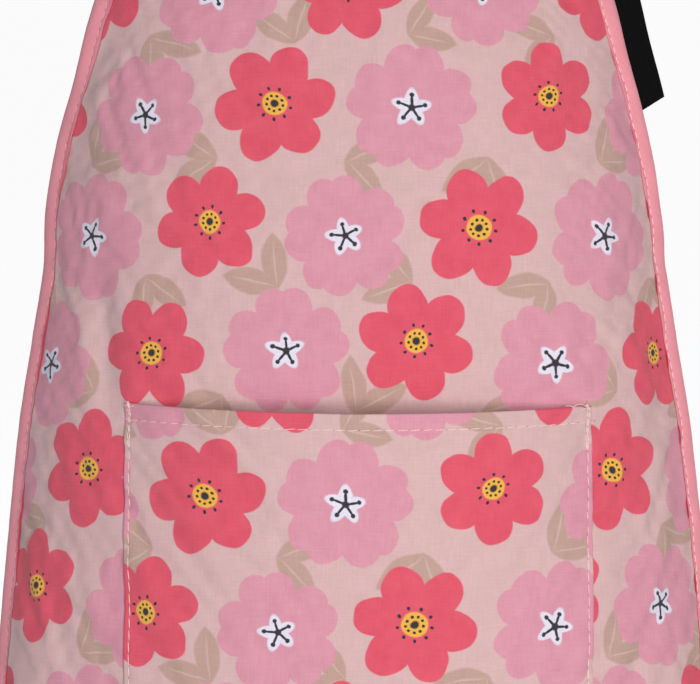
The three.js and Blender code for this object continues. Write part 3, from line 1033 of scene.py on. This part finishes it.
# Patch pocket: its mouth hemmed to the inside, its other edges folded under
def pocketLift(across, down):
    share = np.clip(down / pocket["height"], 0, 1)
    sidePower, downPower = pocket["gapePowers"]
    belly = np.clip(1 - (across / pocket["halfWidth"]) ** 2, 0, None) ** sidePower
    inset = np.minimum(pocket["halfWidth"] - np.abs(across), pocket["height"] - down)
    groove = stitchGroove(inset - pocket["edgeStitch"], pocket["groove"], pocket["grooveWidth"])
    groove = groove + stitchGroove(down - pocket["hemStitch"], pocket["groove"], pocket["grooveWidth"])
    curl = np.clip(1 - inset / pocket["curl"], 0, 1)
    rolled = pocket["curl"] * (1 - np.sqrt(np.clip(1 - curl**2, 0, 1)))
    puckers = puckerLift(down, inset - pocket["edgeStitch"], seams["pocketRight"])
    puckers = puckers * np.clip(inset / pocket["puckerInset"], 0, 1)
    return pocket["base"] + pocket["gape"] * belly * (1 - share) ** downPower - groove - rolled + puckers


def onPocket(across, down, lift=0.0):
    share = np.clip(down / pocket["height"], 0, 1)
    sag = pocket["mouthSag"] * (1 - (across / pocket["halfWidth"]) ** 2) * (1 - share)
    leftwards = np.clip(-across / pocket["halfWidth"], 0, 1)
    sag = sag - pocket["leftRaise"] * leftwards * (1 - share)
    drawn = pocket["leftDraw"] * leftwards * np.sin(math.pi * share)
    place = across + pocket["shift"] + drawn
    return onPanel(place, pocket["drop"] + down + sag, pocketLift(across, down) + lift)


def makePocket():
    half, height, fold = pocket["halfWidth"], pocket["height"], hems["layerGap"] / 2
    nearEdge = np.array(pocket["edgeColumns"])
    inner = half - pocket["edgeReach"]
    middle = np.linspace(-inner, inner, pocket["columns"])
    across = np.concatenate([-half + nearEdge, middle, half - nearEdge[::-1]])
    turns = np.linspace(0, math.pi, hems["foldSteps"])[1:-1]
    plain = np.linspace(pocket["mouthReach"], height - pocket["edgeReach"], pocket["rows"])
    front = np.concatenate([[fold], pocket["mouthRows"], plain, height - nearEdge[::-1]])
    inside = np.linspace(pocket["hem"], fold, hems["foldSteps"])
    down = np.concatenate([inside, fold - fold * np.sin(turns), front])
    lift = np.concatenate([0 * inside - 2 * fold, -fold - fold * np.cos(turns), 0 * front])
    flatDown = np.concatenate([-inside, 0 * turns, front])
    points = onPocket(across[None, :], down[:, None], lift[:, None])[0]
    shiftAcross, shiftDown = pocket["printShift"]
    flat = flatPlaces(across[None, :] + shiftAcross, flatDown[:, None] + shiftDown)
    return clothWall("pocketCloth", points, flat, cut["cloth"], [printedCotton, printedReverse])


pocketCloth = makePocket()
finishPiece(pocketCloth, "printed_cloth", "pocket")
print("pocket made")


# Bindings: tape folded round the side edges, puffed between its stitches and the edge
def bindingStitch(side, drop):  # how far in from the panel's edge the tape is sewn
    right = side > 0
    longRun, shortRun = binding["strayRuns"]
    longShare, shortShare = binding["strayShares"]
    stray = longShare * np.sin(drop / longRun + binding["strayStart"] * side)
    stray = stray + shortShare * np.sin(drop / shortRun + side + np.sin(drop / binding["strayDrift"]))
    aside = binding["waistStray"][right] * np.exp(-(((drop - cut["waist"]) / binding["waistReach"]) ** 4))
    return binding["stitchFromEdge"][right] + binding["stray"][right] * stray + aside


def bindingPlace(side, inward, drop, back):  # across and lift of the tape's middle
    right = side > 0
    sewn = bindingStitch(side, drop)
    seat = cut["cloth"] / 2 + binding["seat"] + binding["tape"] / 2
    behind = np.where((drop < hems["top"]) | (drop > cut["length"] - hems["bottom"]), hems["layerGap"], 0)
    beyondStitch = np.clip((sewn - inward) / sewn, 0, 1)
    full, edgeShare = binding["ridge"]
    ridge = np.sin(math.pi / 2 * np.interp(beyondStitch, [0, full, 1], [0, 1, edgeShare]))
    puff = np.where(back, binding["backPuff"], binding["puff"]) * ridge ** binding["puffPower"]
    groove = stitchGroove(inward - sewn, binding["groove"][right], binding["grooveWidth"])
    fromInside = (binding["width"][right] - inward) / binding["edgeReach"]
    gape = np.interp(bindingGape(side, drop), [0, 1], binding["edgeLift"]) * np.exp(-(fromInside**2))
    wave = 0
    for run, share, bend, bendRun, bySide in binding["rippleWaves"]:
        wave += share * np.sin(drop / run + bend * np.sin(drop / bendRun + bySide * side))
    ripple = binding["ripple"] * wave * np.sin(math.pi * beyondStitch)
    rise = seat + puff + ripple - groove + gape
    return side * (halfFlat(drop) - inward), np.where(back, -rise - behind, rise)


def bindingPath(side, inward, drop, back, off):  # points on the tape's face, for its stitches
    across, lift = bindingPlace(side, inward, drop, back)
    way = -1 if back else 1
    points, normals = onPanel(across, drop, lift + way * off)
    return points, normals * way


def makeBinding(side):
    drop = np.linspace(0, cut["length"], binding["rows"])
    sewn = bindingStitch(side, drop)
    width = binding["width"][side > 0]
    inward = [sewn + share * (width - sewn) for share in binding["insideShares"]]
    inward += [sewn * share for share in binding["beyondShares"]]
    columns = [bindingPlace(side, step, drop, False) for step in inward]
    widths = [width - step for step in inward]
    frontLift, backLift = columns[-1][1], bindingPlace(side, inward[-1], drop, True)[1]
    middle, reach = (frontLift + backLift) / 2, (frontLift - backLift) / 2
    for angle in np.linspace(0, math.pi, binding["foldSteps"])[1:-1]:
        out = halfFlat(drop) - inward[-1] + (inward[-1] + binding["roundOff"]) * math.sin(angle)
        columns.append((side * out, middle + reach * math.cos(angle)))
        widths.append(width + angle + 0 * drop)
    for step in inward[::-1]:
        columns.append(bindingPlace(side, step, drop, True))
        widths.append(width + math.pi + step)
    across, lift = (np.stack(values, 1) for values in zip(*columns))
    points = onPanel(across, drop[:, None], lift)[0]
    flat = flatPlaces(np.stack(widths, 1), drop[:, None])
    if side < 0:
        points, flat = points[:, ::-1], flat[:, ::-1]
    name = "bindingRight" if side > 0 else "bindingLeft"
    # the tape's inner edges and the face against the panel carry the painted fold shade
    return clothWall(name, points, flat, binding["tape"], [biasTape, tapeFoldShade], sideEdges=1)


bindings = {}
for side, node in ((-1, "left_binding"), (1, "right_binding")):
    bindings[node] = makeBinding(side)
    finishPiece(bindings[node], "pink_tape", node)
print("bindings made")


# Side label: a short loop of woven satin, blank, caught in the right binding
label = {
    "drop": 81.2,
    "length": 58,
    "width": 13,
    "turn": 25,  # degrees
    "slant": 7.5,
    "satin": 0.35,
    "gap": 0.5,
    "baseGap": 1.3,
    "tucked": 1.5,
    "curl": 0.35,
    "curlRate": 2.4,
    "curlStart": 0.4,
    "rows": 44,
    "columns": 12,
    "foldSteps": 8,
    "flatShare": 2.2,  # flat width for each mm of seen width
}


def makeLabel():
    turn = math.radians(label["turn"])
    outwards = np.array([math.cos(turn), math.sin(turn), 0])
    facing = np.array([math.sin(turn), -math.cos(turn), 0])
    drop = np.linspace(label["drop"], label["drop"] + label["length"], label["rows"])
    start = onPanel(halfFlat(drop) + label["baseGap"], drop)[0]
    radius = label["gap"] / 2
    reach = np.linspace(-label["tucked"], label["width"] - radius, label["columns"])
    turns = np.linspace(0, math.pi, label["foldSteps"])[1:-1]
    out = np.concatenate([reach, reach[-1] + radius * np.sin(turns), reach[::-1]])
    lift = np.concatenate([0 * reach + radius, radius * np.cos(turns), 0 * reach - radius])
    along = (drop - label["drop"])[:, None] / label["length"]
    curl = label["curl"] * np.sin(label["curlRate"] * along + label["curlStart"])
    curl = curl * (np.clip(out, 0, None) / label["width"]) ** 2
    points = start[:, None] + out[None, :, None] * outwards + (lift + curl)[..., None] * facing
    points[..., 2] += label["slant"] * out / label["width"]
    flatOut = np.concatenate([reach, reach[-1] + turns / 2, 2 * label["width"] - reach[::-1]])
    flat = flatPlaces(flatOut[None, :], drop[:, None])
    return clothWall("sideLabel", points, flat, label["satin"], [labelSatin])


sideLabel = makeLabel()
finishPiece(sideLabel, "label_satin", "side_label")
print("label made")


# Straps and ties: two layers pressed flat, stitched along both edges, gathered where they enter the knot
strap = {
    "neckWidth": 22,
    "tieWidth": 20,
    "thick": 1.3,
    "stitch": 0.8,  # share of the half width
    "stitchOff": 0.08,
    "groove": 0.16,
    "grooveWidth": 0.07,
    "leastThick": 0.02,
    "edgePower": 6,  # how square the edges are
    "pleat": 0.42,
    "pleats": 2.5,
    "edgeRipple": 0.35,
    "edgeRun": 7.3,
    "edgeLag": 0.8,
    "twist": 0.5,
    "twistRun": 31,
    "columns": 21,
}
neck = {
    "setIn": 24,
    "behind": 1.8,
    "sewnDrops": (20, 6),
    "boxDrop": 13,
    "boxInset": 2.5,
    "boxRun": (4.5, 20),
    "steps": 230,
    "seed": 21,
    # x, y, z, facing in degrees from straight ahead, share of the width
    "route": [
        (74, -90, -120, 27, 1),
        (68, -65, -76, 56, 1),
        (53, -33, -36, 92, 1),
        (29, -8, -10, 138, 1),
        (0, 0.6, 0, 180, 1),
    ],
}
ties = {
    "behind": 2.2,
    "sewnInsets": (19, 5),
    "leftBowShare": 0.94,
    "knotMiddle": -346,
    "seed": 30,
    # the same columns: the run round the body, the half bow and the hanging tail
    "run": [
        (145.5, -47, -342, 88, 1),
        (132, -17, -342, 122, 1),
        (96, 5, -343, 155, 1),
        (45, 17, -344, 172, 0.95),
        (5, 22, -345, 178, 0.7),
    ],
    "loop": [
        (4, 36, -343, 185, 0.6),
        (26, 40, -345, 178, 0.85),
        (58, 44, -354, 170, 1),
        (80, 42, -363, 130, 1),
        (85, 35, -366, 80, 1),
        (78, 29, -364, 25, 1),
        (56, 27, -357, 5, 1),
        (26, 28, -349, 0, 0.85),
        (4, 29, -346, 0, 0.6),
    ],
    "tail": [
        (5.5, 33, -352, 180, 0.4),
        (11, 37, -374, 178, 0.75),
        (21, 35, -425, 186, 1),
        (27, 31, -490, 176, 1),
        (30, 30, -556, 184, 1),
    ],
    "steps": {"run": 150, "loop": 130, "tail": 120},
}


def alongRoute(rows, steps):  # points of a centripetal curve through the rows, with their facing and width
    rows = np.array(rows, float)
    places = rows[:, :3]
    padded = np.vstack([2 * places[0] - places[1], places, 2 * places[-1] - places[-2]])
    at = np.linspace(0, len(rows) - 1, steps + 1)
    low = np.clip(at.astype(int), 0, len(rows) - 2)
    p = (at - low)[:, None]
    a, b, c, d = (padded[low + i] for i in range(4))
    ab, bc, cd = (np.linalg.norm(y - x, axis=1, keepdims=True) ** 0.5 for x, y in ((a, b), (b, c), (c, d)))
    leave = ((b - a) / ab - (c - a) / (ab + bc) + (c - b) / bc) * bc
    arrive = ((c - b) / bc - (d - b) / (bc + cd) + (d - c) / cd) * bc
    points = (2 * p**3 - 3 * p**2 + 1) * b + (3 * p**2 - 2 * p**3) * c
    points += (p**3 - 2 * p**2 + p) * leave + (p**3 - p**2) * arrive
    keyed = np.column_stack([np.arange(len(rows)), rows[:, 3:]])
    facing, wide = smoothRead(keyed, at)
    return points, np.radians(facing), wide


def strapSection(route, fullWidth, steps):  # middle points, sideways and outward directions, half the width
    points, facing, wide = alongRoute(route, steps)
    along = unit(np.gradient(points, axis=0))
    outward = np.stack([np.sin(facing), -np.cos(facing), 0 * facing], 1)
    outward = unit(outward - (outward * along).sum(1, keepdims=True) * along)
    return points, np.cross(along, outward), outward, wide * fullWidth / 2


def makeStrap(name, route, fullWidth, steps, seed):
    points, sideways, outward, halfWide = strapSection(route, fullWidth, steps)
    run = np.concatenate([[0], np.cumsum(np.linalg.norm(np.diff(points, axis=0), axis=1))])
    edgeStart, twistStart = np.random.default_rng(seed).uniform(0, 2 * math.pi, 2)
    v = np.sin(np.linspace(-math.pi / 2, math.pi / 2, strap["columns"]))  # closer together at the edges
    gathered = 1 - halfWide / (fullWidth / 2)
    pleat = gathered[:, None] * strap["pleat"] * fullWidth / 2 * np.cos(strap["pleats"] * math.pi * v)
    edgeWave = np.sin(run[:, None] / strap["edgeRun"] + edgeStart + strap["edgeLag"] * v)
    twistWave = np.sin(run[:, None] / strap["twistRun"] + twistStart)
    ripple = strap["edgeRipple"] * edgeWave * v**2 + strap["twist"] * twistWave * v
    halfThick = strap["thick"] / 2 * np.sqrt(1 - np.abs(v) ** strap["edgePower"])
    halfThick = halfThick - stitchGroove(np.abs(v) - strap["stitch"], strap["groove"], strap["grooveWidth"])
    halfThick = np.clip(halfThick, strap["leastThick"], None)
    middle = points[:, None] + (halfWide[:, None] * v)[..., None] * sideways[:, None]
    middle = middle + (pleat + ripple)[..., None] * outward[:, None]
    front = middle + halfThick[None, :, None] * outward[:, None]
    back = (middle - halfThick[None, :, None] * outward[:, None])[:, ::-1]
    ring = np.concatenate([front, back], 1)
    flatAcross = np.concatenate([v, v[::-1]]) * fullWidth / 2
    flat = flatPlaces(flatAcross[None, :], run[:, None]).reshape(-1, 2)
    piece = makeObject(name, ring.reshape(-1, 3), tubeFaces(*ring.shape[:2]), flat, [strapCotton])
    lines = []
    for edge in (-strap["stitch"], strap["stitch"]):
        column = int(np.argmin(np.abs(v - edge)))
        lines.append((front[:, column] + strap["stitchOff"] * outward, outward))
        lines.append((back[:, -1 - column] - strap["stitchOff"] * outward, -outward))
    return piece, run[-1], lines


def sewnRow(across, drop, behind):  # a route's row on the inside of the panel
    point, normal = panelFrame(across, drop)
    x, y, z = point - normal * behind
    return (x, y, z, math.degrees(math.atan2(normal[0], -normal[1])), 1)


def mirrored(route, turned=0):
    return [(-x, y, z, turned - facing, wide) for x, y, z, facing, wide in route]


strapLines = []
overlap = [sewnRow(halfFlat(drop) - neck["setIn"], drop, neck["behind"]) for drop in neck["sewnDrops"]]
neckRight = overlap + neck["route"]
neckLoop = neckRight + mirrored(neckRight, 360)[::-1][1:]
neckWidth = strap["neckWidth"]
neckStrap, neckLength, lines = makeStrap("neckStrap", neckLoop, neckWidth, neck["steps"], neck["seed"])
strapLines += lines
finishPiece(neckStrap, "pink_tape", "neck_strap")
print("neck strap made, length", round(neckLength))


def joinPieces(name, pieces):
    with bpy.context.temp_override(active_object=pieces[0], selected_editable_objects=pieces):
        bpy.ops.object.join()
    pieces[0].name = pieces[0].data.name = name
    return pieces[0]


def tieRoute(side, part, bowShare):
    waist, middle = cut["waist"], ties["knotMiddle"]
    if part == "run":
        half = halfFlat(waist)
        route = [sewnRow(half - inset, waist, ties["behind"]) for inset in ties["sewnInsets"]] + ties["run"]
    else:
        route = [
            (x * bowShare, y, middle + (z - middle) * bowShare, facing, wide)
            for x, y, z, facing, wide in ties[part]
        ]
    return mirrored(route) if side < 0 else route


for side, name, node, bowShare in (
    (-1, "tieLeft", "left_tie", ties["leftBowShare"]),
    (1, "tieRight", "right_tie", 1),
):
    made, total = [], 0
    for part, steps in ties["steps"].items():
        route = tieRoute(side, part, bowShare)
        seed = ties["seed"] + len(strapLines)
        piece, length, lines = makeStrap(node + part, route, strap["tieWidth"], steps, seed)
        made.append(piece)
        strapLines += lines
        total += length
    tie = joinPieces(name, made)
    finishPiece(tie, "pink_tape", node)


# Knot: a gathered turn of tie round the middle of the bow
knot = {
    "halfWidth": 8.5,
    "reachY": 9.6,
    "reachZ": 13.2,
    "middle": (0, 29.5, -346),
    "lean": 10,  # degrees
    "thick": 1.3,
    "corner": 0.72,  # squarer than an ellipse
    "pinch": 0.16,  # narrower at its edges
    "pleat": 0.07,
    "pleats": 3.5,
    "pleatStart": 0.4,
    "bulge": 0.12,  # wider at the front and back
    "bulgeStart": 0.3,
    "sway": 0.8,
    "turnSteps": 73,
    "columns": 25,
    "flatTurn": 12,  # mm of tie for each radian
}


def squared(wave):
    return np.sign(wave) * np.abs(wave) ** knot["corner"]


def makeKnot():
    turn = np.linspace(0, 2 * math.pi, knot["turnSteps"])[:, None]
    v = np.linspace(-1, 1, knot["columns"])[None, :]
    pleats = knot["pleat"] * np.cos(knot["pleats"] * math.pi * v + knot["pleatStart"])
    pinch = 1 - knot["pinch"] * v**2 + pleats
    wide = knot["halfWidth"] * (1 + knot["bulge"] * np.cos(2 * turn + knot["bulgeStart"]))
    x = wide * v + knot["sway"] * np.sin(turn)
    y = knot["reachY"] * squared(np.cos(turn)) * pinch
    z = knot["reachZ"] * squared(np.sin(turn)) * np.sqrt(pinch)
    lean = math.radians(knot["lean"])
    leaning = [x * math.cos(lean) - z * math.sin(lean), y, x * math.sin(lean) + z * math.cos(lean)]
    points = np.stack(leaning, -1) + np.array(knot["middle"], float)
    flat = flatPlaces(v * strap["tieWidth"] / 2, turn * knot["flatTurn"])
    return clothWall("bowKnot", points[:, ::-1], flat, knot["thick"], [strapCotton])


bowKnot = makeKnot()
finishPiece(bowKnot, "pink_tape")

# Stitches: short threads laid end to end along a seam
stitch = {
    "period": 4.6,
    "length": 3.7,
    "thread": 0.48,
    "slant": 0.1,
    "leastSlant": 0.3,  # share of the slant
    "shift": 0,
    "seed": 5,
    "off": 0.1,  # above the cloth's face
    "ends": 1.5,  # the bindings' stitches stop this far from the panel's ends
    # points along each kind of seam
    "bindingSteps": 420,
    "hemSteps": 260,
    "pocketSideSteps": 130,
    "pocketAcrossSteps": 170,
    "boxSteps": 14,
}


def makeStitchTree():
    tree = bpy.data.node_groups.new("stitchesAlongSeam", "GeometryNodeTree")
    tree.interface.new_socket("Seam", in_out="INPUT", socket_type="NodeSocketGeometry")
    for name in ("Period", "Length", "Thread", "Slant", "Shift"):
        tree.interface.new_socket(name, in_out="INPUT", socket_type="NodeSocketFloat")
    tree.interface.new_socket("Seed", in_out="INPUT", socket_type="NodeSocketInt")
    tree.interface.new_socket("Material", in_out="INPUT", socket_type="NodeSocketMaterial")
    tree.interface.new_socket("Stitches", in_out="OUTPUT", socket_type="NodeSocketGeometry")
    start = addNode(tree, "NodeGroupInput").outputs
    end = addNode(tree, "NodeGroupOutput")

    def add(kind, settings=None, output=0):
        return addNode(tree, kind, settings).outputs[output]

    curve = add("GeometryNodeMeshToCurve", {0: start["Seam"]})
    spaced = add("GeometryNodeResampleCurve", {"mode": "LENGTH", 0: curve, "Length": start["Period"]})
    outward = add("GeometryNodeInputNamedAttribute", {"data_type": "FLOAT_VECTOR", "Name": "outward"})
    tangent = add("GeometryNodeInputTangent")
    along = add("FunctionNodeAlignRotationToVector", {"axis": "X", "Vector": tangent})
    upright = {"axis": "Z", "pivot_axis": "X", "Rotation": along, "Vector": outward}
    facing = add("FunctionNodeAlignRotationToVector", upright)
    least = maths(tree, "MULTIPLY", start["Slant"], stitch["leastSlant"])
    lean = add("FunctionNodeRandomValue", {2: least, 3: start["Slant"], "Seed": start["Seed"]}, 1)
    leaning = add("FunctionNodeAxisAngleToRotation", {"Axis": (0, 0, 1), "Angle": lean})
    turned = add("FunctionNodeRotateRotation", {"rotation_space": "LOCAL", 0: facing, 1: leaning})
    bead = add("GeometryNodeMeshUVSphere", {"Segments": 6, "Rings": 6, "Radius": 0.5})
    lying = add("GeometryNodeTransform", {"Rotation": (0, math.pi / 2, 0), 0: bead})
    size = add("ShaderNodeCombineXYZ", {0: start["Length"], 1: start["Thread"], 2: start["Thread"]})
    moved = add("ShaderNodeCombineXYZ", {0: start["Shift"]})
    drawn = add("GeometryNodeTransform", {0: lying, "Translation": moved, "Scale": size})
    laid = add("GeometryNodeInstanceOnPoints", {"Points": spaced, "Instance": drawn, "Rotation": turned})
    real = add("GeometryNodeRealizeInstances", {0: laid})
    smooth = add("GeometryNodeSetShadeSmooth", {0: real})
    dyed = add("GeometryNodeSetMaterial", {0: smooth, "Material": start["Material"]})
    tree.links.new(dyed, end.inputs[0])
    return tree


stitchTree = makeStitchTree()


def sewSeams(name, lines, material, **changes):
    seam = bpy.data.meshes.new(name + "Seam")
    points = np.concatenate([line[0] for line in lines]) * mm
    starts = np.cumsum([0] + [len(line[0]) for line in lines])
    edges = [(i, i + 1) for a, b in zip(starts[:-1], starts[1:]) for i in range(a, b - 1)]
    seam.from_pydata(points.tolist(), edges, [])
    outward = seam.attributes.new("outward", "FLOAT_VECTOR", "POINT")
    outward.data.foreach_set("vector", np.concatenate([line[1] for line in lines]).astype(np.float32).ravel())
    guide = bpy.data.objects.new(name + "Seam", seam)
    scene.collection.objects.link(guide)
    sizes = {**stitch, **changes}
    values = {key.capitalize(): sizes[key] * mm for key in ("period", "length", "thread", "shift")}
    values.update({"Slant": sizes["slant"], "Seed": sizes["seed"], "Material": material})
    modifier = guide.modifiers.new("stitches", "NODES")
    modifier.node_group = stitchTree
    for socket in stitchTree.interface.items_tree:
        if socket.in_out == "INPUT" and socket.name in values:
            modifier[socket.identifier] = values[socket.name]
    evaluated = guide.evaluated_get(bpy.context.evaluated_depsgraph_get())
    mesh = bpy.data.meshes.new_from_object(evaluated)
    guide.modifiers.remove(modifier)
    bpy.data.objects.remove(guide)
    mesh.name = name
    stitches = bpy.data.objects.new(name, mesh)
    scene.collection.objects.link(stitches)
    finishPiece(stitches, "pink_tape")


down = np.linspace(stitch["ends"], cut["length"] - stitch["ends"], stitch["bindingSteps"])
bindingLines = [
    bindingPath(side, bindingStitch(side, down), down, back, binding["tape"] / 2 + stitch["off"])
    for side, back in ((-1, False), (-1, True), (1, False), (1, True))
]
sewSeams("bindingStitches", bindingLines[1:], sewingThread, thread=0.42)
sewSeams("bindingStitchesLeft", bindingLines[:1], leftBindingThread, thread=0.42)  # the left binding's stitches are in a pinker thread than the right's
# painted shade of the needle holes between the binding stitches
sewSeams("bindingNeedleHoleShade", bindingLines, needleHoleShade, length=0.8, thread=0.36, shift=2.3)

face = cut["cloth"] / 2 + stitch["off"]
hemLines = []
for place in (hems["topStitch"], cut["length"] - hems["bottomStitch"]):
    reach = halfFlat(place) - hems["stitchInset"]
    across = np.linspace(-reach, reach, stitch["hemSteps"])
    hemLines.append(onPanel(across, place, face))
    points, normals = onPanel(across, place, -hems["layerGap"] - face)
    hemLines.append((points, -normals))
sewSeams("hemStitches", hemLines, sewingThread)

inset = pocket["halfWidth"] - pocket["edgeStitch"]
depth = pocket["height"] - pocket["edgeStitch"]
mouthEnd = pocket["halfWidth"] - pocket["hemSeamGap"]
sides = np.linspace(pocket["seamTop"], depth, stitch["pocketSideSteps"])
bottom = np.linspace(-inset, inset, stitch["pocketAcrossSteps"])[1:-1]
mouthAcross = np.linspace(-mouthEnd, mouthEnd, stitch["pocketAcrossSteps"])
outlineAcross = np.concatenate([0 * sides - inset, bottom, 0 * sides + inset])
outlineDown = np.concatenate([sides, 0 * bottom + depth, sides[::-1]])
pocketLines = [
    onPocket(mouthAcross, pocket["hemStitch"], face),
    onPocket(outlineAcross, outlineDown, face),
]
sewSeams("pocketStitches", pocketLines, sewingThread, period=5.5, length=5.1, thread=0.4)
# painted shade of the needle holes between the pocket stitches
sewSeams("pocketNeedleHoleShade", pocketLines, shallowNeedleHoleShade, period=5.5, length=0.7, thread=0.34, shift=2.75)

# The corners of the mouth are sewn over twice, with a short bar at the top
tack = {
    "shifts": (-0.45, 0.5),
    "run": (0.3, 18),
    "runSteps": 24,
    "barReach": (-2.4, 1.6),
    "barDown": 0.9,
    "barSteps": 8,
    "off": 0.12,
}
tackLines = []
tackRun = np.linspace(*tack["run"], tack["runSteps"])
barAcross = inset + np.linspace(*tack["barReach"], tack["barSteps"])
for side in (-1, 1):
    for shift in tack["shifts"]:
        tackLines.append(onPocket(side * inset + shift + 0 * tackRun, tackRun, face + tack["off"]))
    tackLines.append(onPocket(side * barAcross, tack["barDown"] + 0 * barAcross, face + tack["off"]))
sewSeams("pocketTacks", tackLines, sewingThread, period=3.4, length=3.5, slant=0.3, thread=0.42)

for side in (-1, 1):  # the neck strap's ends are sewn through the bib in a crossed box
    middle = side * (halfFlat(neck["boxDrop"]) - neck["setIn"])
    wide = neckWidth / 2 - neck["boxInset"]
    high, low = neck["boxRun"]
    box = [(-wide, high), (wide, high), (wide, low), (-wide, low), (-wide, high), (wide, low)]
    box += [(wide, high), (-wide, low)]
    for start, stop in zip(box[:-1], box[1:]):
        way = np.linspace(start, stop, stitch["boxSteps"])
        strapLines.append(onPanel(middle + way[:, 0], way[:, 1], face))
sewSeams("strapStitches", strapLines, sewingThread, period=3.6, length=2.8, thread=0.4)

# A loose end of thread left at the mouth's right corner
tail = {
    "thread": 0.4,
    "start": (1.2, 0.2, 0.25),  # past the seam, below the mouth and above the cloth
    "length": 15,
    # size, rate and start of its curls: across, down and off the cloth
    "sway": (2.2, 9, 0),
    "arch": (-1.1, 2.2, 0.3),
    "ripple": (0.6, 11, 0),
    "rise": (0.9, math.pi, 0),
    "flutter": (0.5, 14, 0),
    "steps": 46,
    "sides": 6,
}


def makeThreadTail():
    share = np.linspace(0, 1, tail["steps"])

    def curl(kind):
        size, rate, start = tail[kind]
        return size * np.sin(rate * share + start)

    past, below, above = tail["start"]
    across = inset + past - tail["length"] * share + curl("sway") * share
    down = below + curl("arch") + curl("ripple")
    lift = face + above + curl("rise") + curl("flutter") * share
    middle, outward = onPocket(across, down, lift)
    along = unit(np.gradient(middle, axis=0))
    sideways = unit(np.cross(along, outward))
    upward = np.cross(sideways, along)
    turn = np.linspace(0, 2 * math.pi, tail["sides"], endpoint=False)
    ring = np.cos(turn)[:, None] * sideways[:, None] + np.sin(turn)[:, None] * upward[:, None]
    points = (middle[:, None] + tail["thread"] / 2 * ring).reshape(-1, 3)
    faces = tubeFaces(tail["steps"], tail["sides"])
    thread = makeObject("threadTail", points, faces, np.zeros((len(points), 2)), [sewingThread])
    finishPiece(thread, "pink_tape")


makeThreadTail()
print("stitches sewn")


# Studio: a round pale cove, a soft key from the front right and weaker light from the left and behind
studio = {
    "floor": -720,
    "radius": 5600,
    "pole": 0.001,  # not 0, so that the innermost faces keep an area
    "bend": 1500,
    "bendSteps": 14,
    "top": 5200,
    "sides": 48,
    "paper": "8c8c8c",
    "glow": 0.885,
    "world": "fafafa",
    "worldStrength": 0.18,
}
lights = {
    # place, aim, size, power, colour
    "keyLight": ((500, -2150, -480), (0, -120, -400), (1100, 1300), 39, "fffdfb"),
    "fillLight": ((-1950, -600, -400), (0, -120, -400), (1300, 1500), 5.5, "f0f4ff"),
    "backLight": ((500, 2200, 500), (0, 0, -380), (1400, 1200), 40, "ffffff"),
}


def makeStudio():
    bend, radius = studio["bend"], studio["radius"]
    angles = np.linspace(0, math.pi / 2, studio["bendSteps"])
    reach = np.concatenate([[studio["pole"]], radius - bend + bend * np.sin(angles), [radius]])
    height = studio["floor"] + np.concatenate([[0], bend - bend * np.cos(angles), [studio["top"]]])
    turn = np.linspace(0, 2 * math.pi, studio["sides"] + 1)
    reach, height = reach[:, None], height[:, None]
    points = np.stack(np.broadcast_arrays(reach * np.cos(turn), reach * np.sin(turn), height), -1)
    sockets = {
        "Roughness": 0.9,
        "Base Color": linear(studio["paper"]),
        "Emission Color": linear("ffffff"),
        "Emission Strength": studio["glow"],
    }
    paper = newMaterial("white paper cove", sockets)[0]
    flat = points[..., :2].reshape(-1, 2)
    cove = makeObject("paperCove", points.reshape(-1, 3), gridQuads(*points.shape[:2]), flat, [paper])
    cove.visible_diffuse = False  # the cove shows white without lighting the sides from behind
    cove.visible_shadow = False
    cove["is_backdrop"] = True


def addLight(name, place, aim, size, power, colour):
    data = bpy.data.lights.new(name, "AREA")
    data.shape = "RECTANGLE"
    data.size, data.size_y = size[0] * mm, size[1] * mm
    data.energy = power
    data.color = linear(colour)[:3]
    lamp = bpy.data.objects.new(name, data)
    lamp.location = [c * mm for c in place]
    lamp.rotation_mode = "QUATERNION"
    lamp.rotation_quaternion = (Vector(aim) - Vector(place)).to_track_quat("-Z", "Y")
    scene.collection.objects.link(lamp)


makeStudio()
for name, settings in lights.items():
    addLight(name, *settings)
world = bpy.data.worlds.new("studioWorld")
world.use_nodes = True
background = world.node_tree.nodes["Background"]
background.inputs["Color"].default_value = linear(studio["world"])
background.inputs["Strength"].default_value = studio["worldStrength"]
scene.world = world
scene.view_settings.view_transform = "Standard"
print("studio lit")

low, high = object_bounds()
